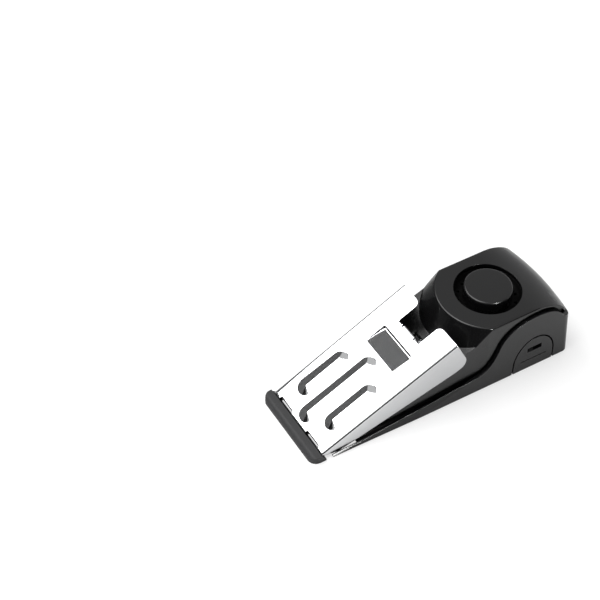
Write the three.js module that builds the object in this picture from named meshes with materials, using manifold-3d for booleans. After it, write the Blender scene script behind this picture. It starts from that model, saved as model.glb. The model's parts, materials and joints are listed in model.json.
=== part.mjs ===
// Door stop alarm: a plastic wedge with a sprung chrome plate, a siren in its head and a battery below.
// Millimetres. X runs from the thin nose to the siren head, Z is up, and the middle plane is Y = 0.

import * as THREE from "three";
import { mergeVertices } from "three/addons/utils/BufferGeometryUtils.js";
import Module from "manifold-3d";

const wasm = await Module();
wasm.setup();

// Driving dimensions of the housing
const bodyLength = 150;
const bodyWidth = 49.4;
const headHeight = 40;
const groundGap = 0.4;
const shellWall = 2;
const seamGap = 1.9;
const clearance = 0.3;
const overrun = 6;
const weld = 1e-4;

// Turns a number of degrees into radians.
const degrees = (value) => (value * Math.PI) / 180;

// Widths across the body, each narrower than it by a named step
const noseStep = 2.2;
const plateFrontStep = 5;
const plateRearStep = 3.3;
const upperFrontStep = 7.1;
const upperRearStep = 5.4;
const upperHeadStep = 4;
const panStep = 8.2;
const rimFrontStep = 4.2;
const rimRearStep = 2.6;
const boardStep = 11.4;
const batteryStep = 22.9;
const noseWidth = bodyWidth - noseStep;
const plateFrontWidth = bodyWidth - plateFrontStep;
const plateRearWidth = bodyWidth - plateRearStep;
const upperFrontWidth = bodyWidth - upperFrontStep;
const upperRearWidth = bodyWidth - upperRearStep;
const upperHeadWidth = bodyWidth - upperHeadStep;
const panWidth = bodyWidth - panStep;
const rimFrontWidth = bodyWidth - rimFrontStep;
const rimRearWidth = bodyWidth - rimRearStep;
const boardWidth = bodyWidth - boardStep;

// Driving dimensions of the siren and its drum
const sirenFromRear = 37.7;
const ringMargin = 6.1;
const drumMargin = 9.6;
const capMargin = 4.6;
const sirenX = bodyLength - sirenFromRear;
const ringRadius = upperHeadWidth / 2 - ringMargin;
const drumTopRadius = ringRadius + drumMargin;
const drumFlareShare = 0.6;
const capRadius = ringRadius - capMargin;
const capRise = 2.5;

// Driving dimensions of the sprung plate, from its hinge pin
const plateToSiren = 33.9;
const plateLift = 34.98;
const plateRear = sirenX - plateToSiren;
const plateAngle = Math.asin(plateLift / plateRear);
const plateTravel = degrees(6);
const sheet = 0.6;
const pinX = 10.1;
const pinHeight = 2.56;
const pinRadius = 0.75;
const pinFit = 0.1;
const plateTop = 2.6;
const plateFront = 2.6;

// Driving dimensions of the deck under the plate
const deckFront = 13.2;
const deckFrontHeight = 4.3;
const deckRise = 34.64;
const deckAngle = Math.atan(deckRise / (sirenX - deckFront));

// Driving dimensions of the battery and of its place
const batteryLength = 48.5;
const batteryWidth = bodyWidth - batteryStep;
const batteryHeight = 17.5;
const batteryCentreY = 1;
const terminalHeight = 2.1;

// Turns a closed geometry into a solid that can be cut and joined.
function solidOf(geometry) {
  const bare = geometry.clone();
  bare.deleteAttribute("normal");
  bare.deleteAttribute("uv");
  const merged = mergeVertices(bare, weld);
  const vertProperties = merged.attributes.position.array;
  const triVerts = new Uint32Array(merged.index.array);
  return new wasm.Manifold(new wasm.Mesh({ numProp: 3, vertProperties, triVerts }));
}

// Turns a solid back into a geometry.
function geometryOf(solid) {
  const mesh = solid.getMesh();
  const geometry = new THREE.BufferGeometry();
  geometry.setAttribute("position", new THREE.BufferAttribute(mesh.vertProperties, 3));
  geometry.setIndex(new THREE.BufferAttribute(mesh.triVerts, 1));
  geometry.computeVertexNormals();
  return geometry;
}

// Joins a list of solids.
const joined = (solids) => solids.reduce((whole, piece) => whole.add(piece));

// Takes a list of solids out of another.
const without = (solid, cuts) => cuts.reduce((rest, cut) => rest.subtract(cut), solid);

// Pushes an outline of [a, b] points by a depth.
function pushed(points, depth, steps = 1) {
  const outline = new THREE.Shape(points.map(([a, b]) => new THREE.Vector2(a, b)));
  return new THREE.ExtrudeGeometry(outline, { depth, steps, bevelEnabled: false });
}

// An outline of [x, z] points between two planes across Y.
function acrossY(points, low, high, steps = 1) {
  const geometry = pushed(points, high - low, steps);
  geometry.rotateX(Math.PI / 2);
  geometry.translate(0, high, 0);
  return geometry;
}

// An outline of [x, y] points between two heights.
function alongZ(points, low, high) {
  const geometry = pushed(points, high - low);
  geometry.translate(0, 0, low);
  return geometry;
}

// An outline of [y, z] points between two planes across X.
function alongX(points, low, high) {
  const geometry = pushed(points, high - low);
  geometry.rotateY(Math.PI / 2);
  geometry.rotateX(Math.PI / 2);
  geometry.translate(low, 0, 0);
  return geometry;
}

// Draws a geometry in by shares of its size, evenly from one height to another.
function drafted(geometry, low, high, shareX, shareY) {
  const places = geometry.attributes.position;
  for (let i = 0; i < places.count; i += 1) {
    const t = (places.getZ(i) - low) / (high - low);
    places.setX(i, places.getX(i) * (1 + t * (shareX - 1)));
    places.setY(i, places.getY(i) * (1 + t * (shareY - 1)));
  }
  return geometry;
}

// Narrows a geometry evenly from its rear plane to its front plane.
function tapered(geometry, front, rear, frontShare) {
  const places = geometry.attributes.position;
  for (let i = 0; i < places.count; i += 1) {
    const t = (rear - places.getX(i)) / (rear - front);
    places.setY(i, places.getY(i) * (1 + t * (frontShare - 1)));
  }
  return geometry;
}

// A box given by its lowest and highest corners.
function block(low, high) {
  const size = high.map((value, axis) => value - low[axis]);
  const geometry = new THREE.BoxGeometry(...size);
  geometry.translate(...high.map((value, axis) => (value + low[axis]) / 2));
  return solidOf(geometry);
}

// An upright cylinder.
function post(x, y, radius, low, high, sides = 24) {
  const geometry = new THREE.CylinderGeometry(radius, radius, high - low, sides);
  geometry.rotateX(Math.PI / 2);
  geometry.translate(x, y, (high + low) / 2);
  return solidOf(geometry);
}

// A profile of [radius, height] points turned round an upright axis.
function turned(points, x, y, sides = 48) {
  const outline = points.map(([radius, height]) => new THREE.Vector2(radius, height));
  const geometry = new THREE.LatheGeometry(outline, sides);
  geometry.rotateX(Math.PI / 2);
  geometry.translate(x, y, 0);
  return solidOf(geometry);
}

// Points on an ellipse's arc, from one angle to another.
function arc([a, b], [radiusA, radiusB], from, to, steps) {
  return Array.from({ length: steps + 1 }, (_, i) => {
    const angle = from + ((to - from) * i) / steps;
    return [a + radiusA * Math.cos(angle), b + radiusB * Math.sin(angle)];
  });
}

// A rectangle with round corners, anticlockwise.
function roundRectangle([lowA, lowB], [highA, highB], radius, steps = 4) {
  const corner = (a, b, turn) => arc([a, b], [radius, radius], degrees(turn), degrees(turn + 90), steps);
  return [
    ...corner(highA - radius, highB - radius, 0),
    ...corner(lowA + radius, highB - radius, 90),
    ...corner(lowA + radius, lowB + radius, 180),
    ...corner(highA - radius, lowB + radius, 270),
  ];
}

// A rectangle, anticlockwise.
const rectangle = ([lowA, lowB], [highA, highB]) => [
  [lowA, lowB],
  [highA, lowB],
  [highA, highB],
  [lowA, highB],
];

// Moves a line of points sideways, to its left for a positive distance.
function shifted(points, distance) {
  return points.map(([a, b], i) => {
    const [fromA, fromB] = points[Math.max(i - 1, 0)];
    const [toA, toB] = points[Math.min(i + 1, points.length - 1)];
    const length = Math.hypot(toA - fromA, toB - fromB);
    return [a - (distance * (toB - fromB)) / length, b + (distance * (toA - fromA)) / length];
  });
}

// The parting seam seen from the side: low along the wedge, an S up to the head's crest, down to the rear.
const seamShares = [
  [0.08, 0.054], [0.2533, 0.1], [0.5, 0.2], [0.6133, 0.275],
  [0.66, 0.3075], [0.6787, 0.475], [0.6958, 0.65],
  [0.7135, 0.825], [0.7703, 0.925], [0.8369, 0.925],
  [0.8833, 0.93], [0.9367, 0.885], [0.9627, 0.72],
];
const seamRearShare = 0.67;

// Points along the seam, as cubic curves through every third share, running out past the rear.
function seamLine() {
  const knots = seamShares.map(([x, z]) => new THREE.Vector3(x * bodyLength, 0, z * headHeight));
  const points = [];
  for (let i = 0; i + 3 < knots.length; i += 3) {
    const curve = new THREE.CubicBezierCurve3(...knots.slice(i, i + 4));
    points.push(...curve.getPoints(seamSteps).slice(i ? 1 : 0));
  }
  const line = points.map((point) => [point.x, point.z]);
  return [...line, [bodyLength, seamRear], [bodyLength + overrun, seamRear]];
}
const seamSteps = 7;
const seamRear = seamRearShare * headHeight;

// Height of the deck's top at a place along the body.
const deckHeight = (x) => deckFrontHeight + (x - deckFront) * Math.tan(deckAngle);

// Outline of the body seen from above, from half widths at stations along X, with a bowed rear.
function bodyPlan(stations, rear, bow, corner) {
  const halfWidth = stations[stations.length - 1][1];
  const sag = bow * ((halfWidth - corner) / halfWidth) ** 2;
  const cornerCentre = [rear - sag - corner, halfWidth - corner];
  const corners = arc(cornerCentre, [corner, corner], Math.PI / 2, 0, cornerSteps);
  const half = [...stations.slice(0, -1), ...corners];
  const last = half[half.length - 1];
  for (let i = rearSteps - 1; i > 0; i -= 1) {
    const y = (last[1] * i) / rearSteps;
    half.push([rear - bow * (y / halfWidth) ** 2, y]);
  }
  half.push([rear, 0]);
  const mirrored = half.slice(0, -1).reverse().map(([x, y]) => [x, -y]);
  return [...half, ...mirrored];
}
const cornerSteps = 5;
const rearSteps = 6;

// Everything above or below a line that runs along X.
const below = (line, floor) => [...line, [line[line.length - 1][0], floor], [line[0][0], floor]];

// Housing sizes that both shells share
const rearBow = 2.5;
const rearCorner = 3.4;
const edgeRound = 1.2;
const upperSetback = 3;
const crownLength = 26.2;
const crownDrop = 14;
const crownStart = bodyLength - upperSetback - crownLength;
const headToSiren = 14.3;
const wedgeToSiren = 27.3;
const headStart = sirenX - headToSiren;
const wedgeEnd = sirenX - wedgeToSiren;
const upperWall = 1.8;
const lipStep = 0.9;
const lipOverlap = 2.4;
const floorTop = 2;
const slotFloor = 1.4;
const bowSteps = 12;

// Draws a geometry's rear in towards its sides, so that the head ends in a bow.
function bowed(geometry) {
  const places = geometry.attributes.position;
  for (let i = 0; i < places.count; i += 1) {
    const reach = Math.max(0, (places.getX(i) - crownStart) / crownLength);
    const aside = (2 * places.getY(i)) / upperHeadWidth;
    places.setX(i, places.getX(i) - rearBow * reach * aside ** 2);
  }
  return geometry;
}

// A side view pushed across the whole body and bowed with it.
const acrossBody = (points) => solidOf(bowed(acrossY(points, -bodyWidth, bodyWidth, bowSteps * 2)));

// The upper shell's edge along the seam: near the rear it keeps a narrow band below the head's round.
function upperEdge(seam) {
  const radii = [crownLength - bandWidth, crownDrop - bandWidth];
  const centre = [crownStart, headHeight - crownDrop];
  const share = ([x, z]) => [(x - centre[0]) / radii[0], (z - centre[1]) / radii[1]];
  const inside = (point) => point[0] < crownStart || Math.hypot(...share(point)) < 1;
  const line = shifted(seam, seamGap / 2);
  const kept = line.slice(0, line.findIndex((point) => !inside(point)));
  const [first, last] = [share(kept[kept.length - 1]), (seamRear + seamGap / 2 - centre[1]) / radii[1]];
  const round = arc(centre, radii, Math.atan2(first[1], first[0]) - degrees(seamSteps), Math.asin(last), 6);
  return [...kept, ...round, [bodyLength + overrun, seamRear + seamGap / 2]];
}
const bandWidth = 1.15;

// Outline of the upper shell from above, drawn in by an inset.
function upperPlan(inset) {
  const front = deckFront - overrun;
  return bodyPlan(
    [
      [front, upperFrontWidth / 2 - inset],
      [wedgeEnd, upperRearWidth / 2 - inset],
      [headStart, upperHeadWidth / 2 - inset],
      [bodyLength, upperHeadWidth / 2 - inset],
    ],
    crownStart + crownLength - inset,
    rearBow,
    rearCorner,
  );
}

// The drum's flared front with a small round along its top edge, drawn in by an inset.
function drum(inset, top, floor) {
  const topRadius = drumTopRadius - inset * Math.hypot(1, drumFlareShare);
  const flareAt = (z) => topRadius + (headHeight - z) * drumFlareShare;
  const shoulderCentre = [flareAt(top) - edgeRound, top - edgeRound];
  const flareTurn = Math.atan(drumFlareShare);
  const shoulder = arc(shoulderCentre, [edgeRound, edgeRound], flareTurn, Math.PI / 2, 4);
  return turned([[0, floor], [flareAt(floor), floor], ...shoulder, [0, top]], sirenX, 0, 96);
}

// Side view of the wedge up to the siren's centre.
const wedgeProfile = (drop, front, floor) => [
  [front, floor],
  [sirenX, floor],
  [sirenX, deckHeight(sirenX) - drop],
  [front, deckHeight(front) - drop],
];

// Side view of the head behind the siren's centre, with its long round down to the rear.
const headProfile = (inset, floor) => [
  [sirenX, floor],
  [crownStart + crownLength - inset, floor],
  ...arc([crownStart, headHeight - crownDrop], [crownLength - inset, crownDrop - inset], 0, Math.PI / 2, 12),
  [sirenX, headHeight - inset],
];

// The space that the upper shell fills, drawn in by an inset at the sides and by a drop at the top.
function upperForm(inset, floor, drop = inset) {
  const wide = bodyWidth;
  const front = deckFront + drop;
  const wedge = solidOf(acrossY(wedgeProfile(drop / Math.cos(deckAngle), front, floor), -wide, wide));
  const rear = acrossBody(headProfile(drop, floor));
  const frontHalf = block([0, -wide, floor - overrun], [sirenX, wide, headHeight + overrun]);
  const shape = joined([wedge, rear, drum(drop, headHeight - drop, floor).intersect(frontHalf)]);
  const plan = solidOf(alongZ(upperPlan(inset), floor - overrun, headHeight + overrun));
  const halfWidth = upperHeadWidth / 2 - inset;
  const top = headHeight - drop;
  const section = [
    [-halfWidth, floor - overrun],
    [halfWidth, floor - overrun],
    ...arc([halfWidth - edgeRound, top - edgeRound], [edgeRound, edgeRound], 0, Math.PI / 2, 4),
    ...arc([edgeRound - halfWidth, top - edgeRound], [edgeRound, edgeRound], Math.PI / 2, Math.PI, 4),
  ];
  return shape.intersect(plan).intersect(solidOf(alongX(section, 0, bodyLength + overrun)));
}

// Places of the case screws and of the posts that they join
const frontPostMargin = 9.7;
const rearPostMargin = 6.1;
const switchSideMargin = 8.1;
const rearPostFromRear = 8.8;
const frontPost = { x: 34, y: bodyWidth / 2 - frontPostMargin, radius: 3.6, split: 4.2, headSeat: 2.5 };
const rearPost = {
  x: bodyLength - rearPostFromRear,
  y: bodyWidth / 2 - rearPostMargin,
  radius: 3.5,
  split: 22,
  headSeat: 14,
};
const switchSidePostY = switchSideMargin - bodyWidth / 2;
const nearFrontPost = { ...frontPost, y: -frontPost.y };
const casePosts = [frontPost, nearFrontPost, rearPost, { ...rearPost, y: switchSidePostY }];
const screwHead = 2.6;
const screwHeadHeight = 1.7;
const screwShaft = 1.25;
const screwGrip = 4.6;
const counterbore = screwHead + clearance;

// Places of the circuit board and its screws
const boardBottom = 22.4;
const boardThickness = 1.6;
const boardTop = boardBottom + boardThickness;
const cupMargin = 1.6;
const cupOuter = ringRadius - cupMargin;
const boardFromCup = 12.8;
const boardPastCup = 6.7;
const boardFront = sirenX - cupOuter - boardFromCup;
const boardRear = sirenX + cupOuter + boardPastCup;
const boardTabLength = 3;
const boardTab = { from: boardRear - boardTabLength, to: boardRear + boardTabLength, half: 5 };
const boardPostRadius = 2.7;
const boardPostMargin = 2.4;
const boardPostFromSiren = 13.8;
const boardTabPostInset = 0.4;
const boardPostX = sirenX - boardPostFromSiren;
const boardPostY = boardWidth / 2 - boardPostMargin;
const boardTabPostX = boardRear - boardTabPostInset;
const boardPosts = [
  [boardPostX, boardPostY],
  [boardPostX, -boardPostY],
  [boardTabPostX, 0],
];

// The plate's return spring stands square on the deck in a cup
const springFromSlot = 20.9;
const springRadius = 4.1;
const springWire = 0.8;
const springTurns = 6;
const cupDepth = 4.2;
const cupRadius = 5.4;
const cupWall = 1.4;

// Place of the plate's return spring along the body.
const springPlace = () => slotFront() - springFromSlot;

// Turns a piece made round the origin's upright axis to stand square on the deck.
function onDeck(geometry, rise) {
  geometry.translate(0, 0, rise);
  geometry.rotateY(-deckAngle);
  const springX = springPlace();
  geometry.translate(springX, 0, deckHeight(springX));
  return geometry;
}

// An upright cylinder round the origin.
function roundBar(radius, low, high, sides = 32) {
  const geometry = new THREE.CylinderGeometry(radius, radius, high - low, sides);
  geometry.rotateX(Math.PI / 2);
  geometry.translate(0, 0, (high + low) / 2);
  return geometry;
}

// The slot in the deck that the plate's tongue passes
const tongueWidth = 8.6;
const slotAhead = 3.3;
const slotBehind = 0.9;
const slotFront = () => triggerX - slotAhead;
const slotRear = () => triggerX + slotBehind;

// Upper shell: deck, drum and head, hollow and open below, with its lip, posts, spring cup and openings.
function upperShell() {
  const floor = -overrun;
  const seam = seamLine();
  const cut = (line) => acrossBody(below(seamFrom(line), floor * 2));
  const outer = upperForm(0, floor).subtract(cut(upperEdge(seam)));
  const base = block([0, -bodyWidth, floor * 2], [bodyLength * 2, bodyWidth, floorTop + clearance]);
  const lip = upperForm(lipStep, floor, lipStep).subtract(cut(shifted(seam, -seamGap / 2 - lipOverlap)));
  const cavity = upperForm(upperWall + lipStep, floor * 2, shellWall);
  const cup = solidOf(onDeck(roundBar(cupRadius + cupWall, -cupDepth - cupWall, 0), 0));
  const bore = solidOf(onDeck(roundBar(cupRadius, -cupDepth, overrun), 0));
  const roof = upperForm(0, floor);
  const bossOf = ({ x, y, radius, split }) => post(x, y, radius, split + clearance, headHeight);
  const caseBosses = casePosts.map(bossOf);
  const boardBosses = boardPosts.map(([x, y]) => post(x, y, boardPostRadius, boardTop, headHeight));
  const bosses = joined([...caseBosses, ...boardBosses, cup]).intersect(roof);
  const shell = joined([outer, lip]).subtract(cavity).add(bosses);
  const slotHalf = tongueWidth / 2 + clearance * 2;
  const tongueSlot = block([slotFront(), -slotHalf, floorTop], [slotRear(), slotHalf, headHeight]);
  const ring = post(sirenX, 0, ringRadius, headHeight - shellWall * 2, headHeight + overrun, 64);
  const pilots = casePosts.map(({ x, y, split }) => pilotHole(x, y, split));
  const boardPilots = boardPosts.map(([x, y]) => pilotHole(x, y, boardTop));
  return without(shell, [base, bore, tongueSlot, ring, ...pilots, ...boardPilots]);
}

// A screw's hole up into a post.
function pilotHole(x, y, low) {
  return post(x, y, screwShaft + pinFit, low - clearance, low + screwGrip + clearance * 2, 12);
}

// The seam with its nose end run out to the front.
const seamFrom = (line) => [[line[0][0] - overrun * 2, line[0][1] - overrun / 4], ...line];

// Lower shell sizes
const rimStart = 12;
const slotFloorStart = 26;
const lowerWall = 2.2;
const topLengthShare = 0.98;
const topWidthShare = 0.967;
const fullWidthAt = 60;
const battWall = 1.4;
const battFit = 0.6;
const rearWall = 3.4;
const bayLength = 54;
const bayRear = bodyLength - rearWall;
const bayFront = bayRear - bayLength;
const bayTop = 12;
const doorGap = 0.35;

// The block of space inside the lower shell's outer faces.
function lowerForm(front) {
  const halfWidthAt = (x) => noseWidth / 2 + ((bodyWidth - noseWidth) / 2) * Math.min(x / fullWidthAt, 1);
  const plan = bodyPlan(
    [
      [front, halfWidthAt(front)],
      [fullWidthAt, bodyWidth / 2],
      [bodyLength, bodyWidth / 2],
    ],
    bodyLength,
    rearBow,
    rearCorner,
  );
  return solidOf(drafted(alongZ(plan, 0, headHeight), 0, headHeight, topLengthShare, topWidthShare));
}

// The hollow of the lower shell, with the slot beside each flange of the plate.
function lowerHollow() {
  const plan = bodyPlan(
    [
      [rimStart - overrun, rimFrontWidth / 2],
      [wedgeEnd, rimRearWidth / 2],
      [wedgeEnd + overrun, bodyWidth / 2 - lowerWall],
      [bodyLength, bodyWidth / 2 - lowerWall],
    ],
    bayRear,
    rearBow,
    rearCorner - lowerWall / 2,
  );
  return solidOf(alongZ(plan, slotFloor, headHeight));
}

// Hinge bearings: a rib round the pin between and beside the plate's two lips
const lipMargin = 3.4;
const lipWidth = 10.4;
const lipOuter = panWidth / 2 - lipMargin;
const lipInner = lipOuter - lipWidth;
const ribWall = 0.8;
const ribRadius = pinRadius + pinFit + ribWall;
const ribSpans = [
  [-panWidth / 2, -lipOuter - clearance * 3],
  [-lipInner + clearance * 3, lipInner - clearance * 3],
  [lipOuter + clearance * 3, panWidth / 2],
];

// One bearing rib, from the floor to round the pin.
function hingeRib([low, high]) {
  const round = arc([pinX, pinHeight], [ribRadius, ribRadius], 0, Math.PI, 10);
  const outline = [...round, [pinX - ribRadius, groundGap], [pinX + ribRadius, groundGap]];
  return solidOf(acrossY(outline, low, high));
}

// Nose sizes
const noseTongueFront = 3.5;
const noseTongueLow = 0.9;
const panFront = 6.4;
const lipWindow = 2.2;

// The floor of the lower shell, with its tongue into the nose strip.
function floorPan() {
  const half = panWidth / 2;
  const pan = block([panFront, -half, groundGap], [bodyLength - rearCorner, half, floorTop]);
  const tongue = block([noseTongueFront, -half, noseTongueLow], [panFront + floorTop, half, floorTop]);
  const windows = [-1, 1].map((side) => {
    const ys = [side * (lipInner - clearance), side * (lipOuter + clearance)].sort((a, b) => a - b);
    return block([pinX - lipWindow, ys[0], -overrun], [pinX + lipWindow, ys[1], floorTop + overrun]);
  });
  return without(joined([pan, tongue]), windows);
}

// Battery bay walls on the floor.
function bayWalls() {
  const inner = batteryWidth / 2 + battFit;
  const sides = [-1, 1].map((side) => {
    const faces = [inner, inner + battWall].map((far) => batteryCentreY + side * far);
    const ys = faces.sort((a, b) => a - b);
    return block([bayFront, ys[0], floorTop - groundGap], [bayRear, ys[1], bayTop]);
  });
  const frontWall = block(
    [bayFront - battWall, batteryCentreY - inner - battWall, floorTop - groundGap],
    [bayFront, batteryCentreY - inner / 2, bayTop],
  );
  return joined([...sides, frontWall]);
}

// Switch panel: an arch let into the near side
const archFromRear = 23.95;
const archX = bodyLength - archFromRear;
const archHalf = 12.25;
const archFoot = 6;
const archRise = 15.4;
const panelGap = 0.4;
const panelFlange = 1.2;
const panelDepth = 4.4;
const panelFlangeDepth = 3.2;
const panelInner = bodyWidth / 2 - panelDepth;
const panelFlangeFace = bodyWidth / 2 - panelFlangeDepth;
const sliderSlotX = archX;
const sliderSlotZ = 13.4;
const sliderSlotLength = 8.4;
const sliderSlotHeight = 2.8;
const sliderWidth = 2.6;
const underlineZ = 6.6;
const underlineLength = 15.5;
const underlineWidth = 0.4;

// Side view of the arch, drawn out by a margin, down to a foot height.
function archOutline(margin, foot) {
  const top = arc([archX, archFoot], [archHalf + margin, archRise + margin], 0, Math.PI, 20);
  return [...top, [archX - archHalf - margin, foot], [archX + archHalf + margin, foot]];
}

// Rubber pads let into the underside
const padDepth = 0.6;
const padThickness = groundGap + padDepth;
const frontPadMargin = 16;
const sidePadMargin = 6.6;
const sidePadFromRear = 38;
const frontPadSize = {
  x: (frontPost.x + bayFront) / 2,
  y: 0,
  length: bayFront - frontPost.x - frontPadMargin,
  width: 28,
  radius: 4,
};
const sidePadSize = {
  x: bodyLength - sidePadFromRear,
  y: bodyWidth / 2 - sidePadMargin,
  length: 32,
  width: 3.4,
  radius: 1.5,
};
const padOutline = ({ x, y, length, width, radius }) =>
  roundRectangle([x - length / 2, y - width / 2], [x + length / 2, y + width / 2], radius);
const frontPad = padOutline(frontPadSize);
const sidePads = [padOutline(sidePadSize), padOutline({ ...sidePadSize, y: -sidePadSize.y })];

// Battery door and the opening that it closes
const doorLow = [bayFront + battWall, batteryCentreY - batteryWidth / 2 - battFit];
const doorHigh = [bayRear - battWall, batteryCentreY + batteryWidth / 2 + battFit];
const doorThickness = 1.5;
const doorCorner = 1.5;
const fingerRadius = 6;
const fingerDepth = 0.6;
const fingerInset = 7.5;
const latchSpacing = 12;
const latchLength = 6;
const latchSlot = 0.6;
const foamWidth = 1.2;
const foamSpacing = 14.5;
const foamMargin = 9;

// Lower shell: floor, side walls up to the seam, bearings for the hinge pin, bay, posts and openings.
function lowerShell() {
  const wide = bodyWidth;
  const seam = seamLine();
  const side = acrossBody(below(seamFrom(shifted(seam, -seamGap / 2)), -overrun * 2));
  const behind = block([rimStart, -wide, groundGap], [bodyLength + overrun, wide, headHeight]);
  const tub = lowerForm(rimStart - overrun).intersect(side).intersect(behind).subtract(lowerHollow());
  const inside = lowerForm(0);
  const posts = casePosts.map(({ x, y, radius, split }) => post(x, y, radius, groundGap, split));
  const ribs = ribSpans.map(hingeRib);
  const body = joined([tub, floorPan(), ...ribs, bayWalls(), joined(posts).intersect(inside)]);
  const bores = casePosts.flatMap(({ x, y, headSeat, split }) => [
    post(x, y, counterbore, -overrun, headSeat, 16),
    post(x, y, screwShaft + clearance, -overrun, split + overrun, 12),
  ]);
  const pinHole = new THREE.CylinderGeometry(pinRadius + pinFit, pinRadius + pinFit, wide, 16);
  pinHole.translate(pinX, 0, pinHeight);
  const doorOpening = block(
    [doorLow[0] - doorGap, doorLow[1] - doorGap, -overrun],
    [doorHigh[0] + doorGap, doorHigh[1] + doorGap, floorTop + padDepth],
  );
  const recess = (outline) => solidOf(alongZ(outline, -overrun, padThickness));
  const arch = solidOf(acrossY(archOutline(0, -overrun), -wide, -panWidth / 2));
  const flangeSlots = [-1, 1].map((sign) => {
    const ys = [(sign * panWidth) / 2, (sign * rimFrontWidth) / 2].sort((a, b) => a - b);
    return block([0, ys[0], -overrun], [slotFloorStart, ys[1], floorTop]);
  });
  return without(body, [
    ...flangeSlots,
    ...bores,
    solidOf(pinHole),
    doorOpening,
    recess(frontPad),
    ...sidePads.map(recess),
    arch,
  ]);
}

// Nose strip of soft rubber, wrapped round the floor's tongue
const noseFront = 0.7;
const noseTop = 4.1;
const noseRear = 6.05;
const noseRound = 2.7;
const noseRise = 1.2;
const noseCheekRear = 8.4;
const noseCheekTop = 1.2;
const noseCheekDrop = 0.8;
const noseCorner = 4.4;
const noseFit = 0.2;

function noseStrip() {
  const rollCentre = [noseFront + noseRound, noseRise];
  const roll = arc(rollCentre, [noseRound, noseTop - noseRise], Math.PI, Math.PI / 2, 7);
  const profile = [
    [noseFront, 0],
    ...roll,
    [noseRear, noseTop],
    [noseRear, noseTop - noseCheekDrop],
    [noseCheekRear, noseCheekTop],
    [noseCheekRear, 0],
  ];
  const half = noseWidth / 2;
  const plan = roundRectangle([noseFront, -half], [bodyLength / 2, half], noseCorner, 6);
  const planForm = solidOf(alongZ(plan, -overrun, overrun * 2));
  const strip = solidOf(acrossY(profile, -half, half)).intersect(planForm);
  const pocketHalf = panWidth / 2 + noseFit;
  const tongueSlot = block(
    [noseTongueFront - noseFit, -pocketHalf, noseTongueLow - noseFit],
    [noseCheekRear + overrun, pocketHalf, floorTop + noseFit],
  );
  const behind = block(
    [panFront - clearance, -pocketHalf, -overrun],
    [noseCheekRear + overrun, pocketHalf, overrun],
  );
  return without(strip, [tongueSlot, behind]);
}

// Plate outlines, in the plate's own frame: X along it from the hinge pin, Z square to it
const foldRound = 1.1;
const flangeFront = [-1.3, -0.3];
const flangeLow = [4.5, -4.1];
const flangeLineStart = -3.5;
const flangeSlopeShare = 0.168;
const flangeCorner = 5;
const flangeCornerLow = 15.4;
const flangeCornerEnd = degrees(-98);
const lipSetback = 1.15;
const notchHalf = 8.6;
const notchDepth = 13.2;
const notchFront = plateRear - notchDepth;
const reliefWidth = 1;
const reliefDepth = 0.7;
const earRound = 3.2;

// Side view of the folded plate.
function plateSide() {
  const lineAt = (x) => flangeLineStart - flangeSlopeShare * x;
  const corner = arc(
    [plateRear - flangeCorner, -flangeCornerLow + flangeCorner],
    [flangeCorner, flangeCorner],
    0,
    flangeCornerEnd,
    8,
  );
  return [
    [-plateFront, plateTop],
    [-plateFront, plateTop - sheet * 1.6],
    flangeFront,
    flangeLow,
    [flangeLow[0] * 2, lineAt(flangeLow[0] * 2)],
    ...corner.reverse(),
    [plateRear, plateTop],
  ];
}

// Section of the folded plate, with its two folds, closed below by a deep block.
const plateSection = (halfWidth, top, round) => [
  [-halfWidth, -plateRear],
  [halfWidth, -plateRear],
  ...arc([halfWidth - round, top - round], [round, round], 0, Math.PI / 2, 5),
  ...arc([round - halfWidth, top - round], [round, round], Math.PI / 2, Math.PI, 5),
];

// The channel form of the plate, drawn in by a thickness.
function plateForm(thickness) {
  const half = plateRearWidth / 2 - thickness;
  const frontShare = (plateFrontWidth / 2 - thickness) / half;
  const round = Math.max(foldRound - thickness, foldRound / 4);
  const front = -plateFront - overrun;
  const rear = plateRear + overrun;
  const channel = alongX(plateSection(half, plateTop - thickness, round), front, rear);
  return solidOf(tapered(channel, front, rear, frontShare));
}

// Raised ribs on the plate
const ribHalf = 3;
const ribRise = 1;
const ribSpacing = 12.2;
const pocketFromRear = 31.4;
const pocketFrom = plateRear - pocketFromRear;
const sideRibGap = 9.8;
const middleRibGap = 2.4;
const sideRib = { from: 6.9, to: pocketFrom - sideRibGap };
const middleRib = { from: -0.6, to: pocketFrom - middleRibGap };

// One rib, as a flattened capsule lying along the plate.
function plateRib(y, { from, to }) {
  const geometry = new THREE.CapsuleGeometry(ribHalf, to - from - 2 * ribHalf, 5, 16);
  geometry.rotateZ(Math.PI / 2);
  geometry.scale(1, 1, ribRise / ribHalf);
  geometry.translate((from + to) / 2, y, plateTop);
  const above = block(
    [from - overrun, y - overrun, plateTop - sheet / 2],
    [to + overrun, y + overrun, plateTop + overrun],
  );
  return solidOf(geometry).intersect(above);
}

// The sunk pocket: its floor ramps down towards the head
const pocketLength = 11.9;
const pocketTo = pocketFrom + pocketLength;
const pocketHalf = 11.7;
const pocketDepth = 1.9;
const pocketCorner = 1.4;

function pocketVoid() {
  const ramp = [
    [pocketFrom, plateTop - weld * 100],
    [pocketTo, plateTop - pocketDepth],
    [pocketTo, plateTop + overrun],
    [pocketFrom, plateTop + overrun],
  ];
  const mouth = roundRectangle([pocketFrom, -pocketHalf], [pocketTo, pocketHalf], pocketCorner, 3);
  return solidOf(acrossY(ramp, -pocketHalf, pocketHalf)).intersect(solidOf(alongZ(mouth, -overrun, overrun)));
}

function pocketTray() {
  const tray = [
    [pocketFrom, plateTop - sheet],
    [pocketTo + sheet, plateTop - pocketDepth - sheet],
    [pocketTo + sheet, plateTop - sheet / 2],
    [pocketFrom, plateTop - sheet / 2],
  ];
  return solidOf(acrossY(tray, -pocketHalf - sheet, pocketHalf + sheet));
}

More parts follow.
